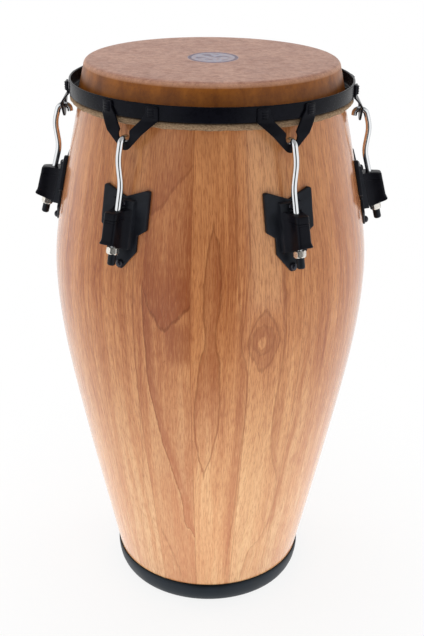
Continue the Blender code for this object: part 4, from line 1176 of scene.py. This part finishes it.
def camera():
    focal, pitch, distance, height = 1036.6, radians(24.266), 1.3031, 0.9691
    roll, yaw, around = radians(0.591), radians(-0.131), radians(1.52)
    data = bpy.data.cameras.new("photo_camera")
    data.sensor_width = 36.0
    data.lens = focal / 636 * data.sensor_width
    obj = bpy.data.objects.new("photo_camera", data)
    bpy.context.scene.collection.objects.link(obj)
    right = Vector((cos(yaw), sin(yaw), 0))
    ahead = Vector((-sin(yaw), cos(yaw), 0))
    forward = ahead * cos(pitch) - Vector((0, 0, sin(pitch)))
    up = ahead * sin(pitch) + Vector((0, 0, cos(pitch)))
    rolled_right = right * cos(roll) + up * sin(roll)
    rolled_up = up * cos(roll) - right * sin(roll)
    pose = Matrix((rolled_right, rolled_up, -forward)).transposed().to_4x4()
    pose.translation = (0, -distance, height)
    obj.matrix_world = Matrix.Rotation(around, 4, "Z") @ pose
    bpy.context.scene.camera = obj
    return around


def main():
    nodes = frame["nodes"]
    studio(camera())

    wood = wood_material()
    skin = skin_material()
    black = powder_coat("black_powder_coat", (0.008, 0.009, 0.012), (0.27, 0.37), (0.026, 0.027, 0.032), 0.18)
    rim_black = powder_coat("black_rim", (0.003, 0.003, 0.005), (0.22, 0.32), (0.014, 0.014, 0.018), 0.10)
    block_black = powder_coat("black_block", (0.004, 0.004, 0.006), (0.26, 0.36), (0.016, 0.017, 0.021), 0.10)
    bolt_black = powder_coat("black_bolt", (0.010, 0.009, 0.014), (0.16, 0.26), (0.03, 0.03, 0.04), 0.5)
    chrome = plated("chrome", (0.86, 0.88, 0.90), 0.03, 0.07, 0.01, edge=0.25)
    nickel = plated("nickel", (0.90, 0.86, 0.79), 0.12, 0.22, 0.03, edge=0.6, metallic=0.9)
    zinc = plated("zinc_steel", (0.50, 0.51, 0.52), 0.30, 0.45, 0.03)
    foot_rubber = rubber("black_rubber", (0.006, 0.008, 0.012), (0.012, 0.016, 0.024))
    cap_rubber = rubber("cap_rubber", (0.002, 0.002, 0.003), (0.005, 0.004, 0.006))

    add("wood_shell", shell_mesh(), wood, "drum", "clear_rubberwood", "shell")
    add("foot_ring", foot_mesh(), foot_rubber, "drum", "black_rubber", "base_ring")
    add("rim_band", rim_mesh(), rim_black, "rim_ring", "black_powder_coat", "rim")
    head = new_object("skin_head", skin_mesh(), skin)
    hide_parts("head_skin", "skin_tuck")
    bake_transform(head)

    bracket, hook, plate = bracket_mesh(), hook_mesh(), plate_mesh()
    block, nut, cap = block_mesh(), nut_mesh(), cap_mesh()
    upper_bolt, lower_bolt = bolt_mesh("pad_bolt", UPPER_HEAD), bolt_mesh("tip_bolt", LOWER_HEAD)
    upper_seat = pad_plane_radius(UPPER_BOLT_Z) + CLEAR
    lower_seat = shell_radius(LOWER_BOLT_Z) + CLEAR + PLATE_T + CLEAR
    for index in range(LUGS):
        k = index + 1
        turn = Matrix.Rotation(azimuth(index), 4, "Z")
        upright = turn @ Matrix.Translation((0, -ROD_TOP_R, LUG_Z))
        rod = upright @ Matrix.Rotation(-ROD_LEAN, 4, "X")
        add(f"v_bracket_{k}", bracket, block_black, "rim_ring", "black_powder_coat", f"hook_bracket_{k}", place=turn)
        add(f"hook_rod_{k}", hook, chrome, f"hook_{k}", "chrome", f"tuning_hook_{k}", place=upright)
        add(f"wing_plate_{k}", plate, black, "drum", "black_powder_coat", f"side_plate_{k}", place=turn)
        add(f"rod_block_{k}", block, block_black, "drum", "black_powder_coat", f"lug_block_{k}", place=rod)
        at_nut = rod @ Matrix.Translation((0, 0, -BLOCK_H - CLEAR))
        turned = at_nut @ Matrix.Rotation(radians(NUT_TURNS[index]), 4, "Z")
        add(f"draw_nut_{k}", nut, nickel, f"nut_{k}", "nickel", f"hook_nut_{k}", place=turned)
        at_cap = at_nut @ Matrix.Translation((0, 0, -NUT_H - CLEAR))
        add(f"rod_end_cap_{k}", cap, cap_rubber, f"hook_{k}", "black_rubber", f"hook_cap_{k}", place=at_cap)
        for name, mesh, seat, z, lean, node in (
            ("pad_bolt", upper_bolt, upper_seat, UPPER_BOLT_Z, ROD_LEAN, "upper_bolt"),
            ("tip_bolt", lower_bolt, lower_seat, LOWER_BOLT_Z, shell_lean(LOWER_BOLT_Z), "lower_bolt"),
        ):
            at_bolt = turn @ Matrix.Translation((0, -seat, z)) @ Matrix.Rotation(pi / 2 - lean, 4, "X")
            add(f"{name}_{k}", mesh, bolt_black, "drum", "black_powder_coat", f"{node}_{k}", place=at_bolt)
    for node in ["flesh_hoop"] + [f"backing_plate_{index + 1}" for index in range(LUGS)]:
        nodes[node].data.materials.clear()
        nodes[node].data.materials.append(zinc)


main()
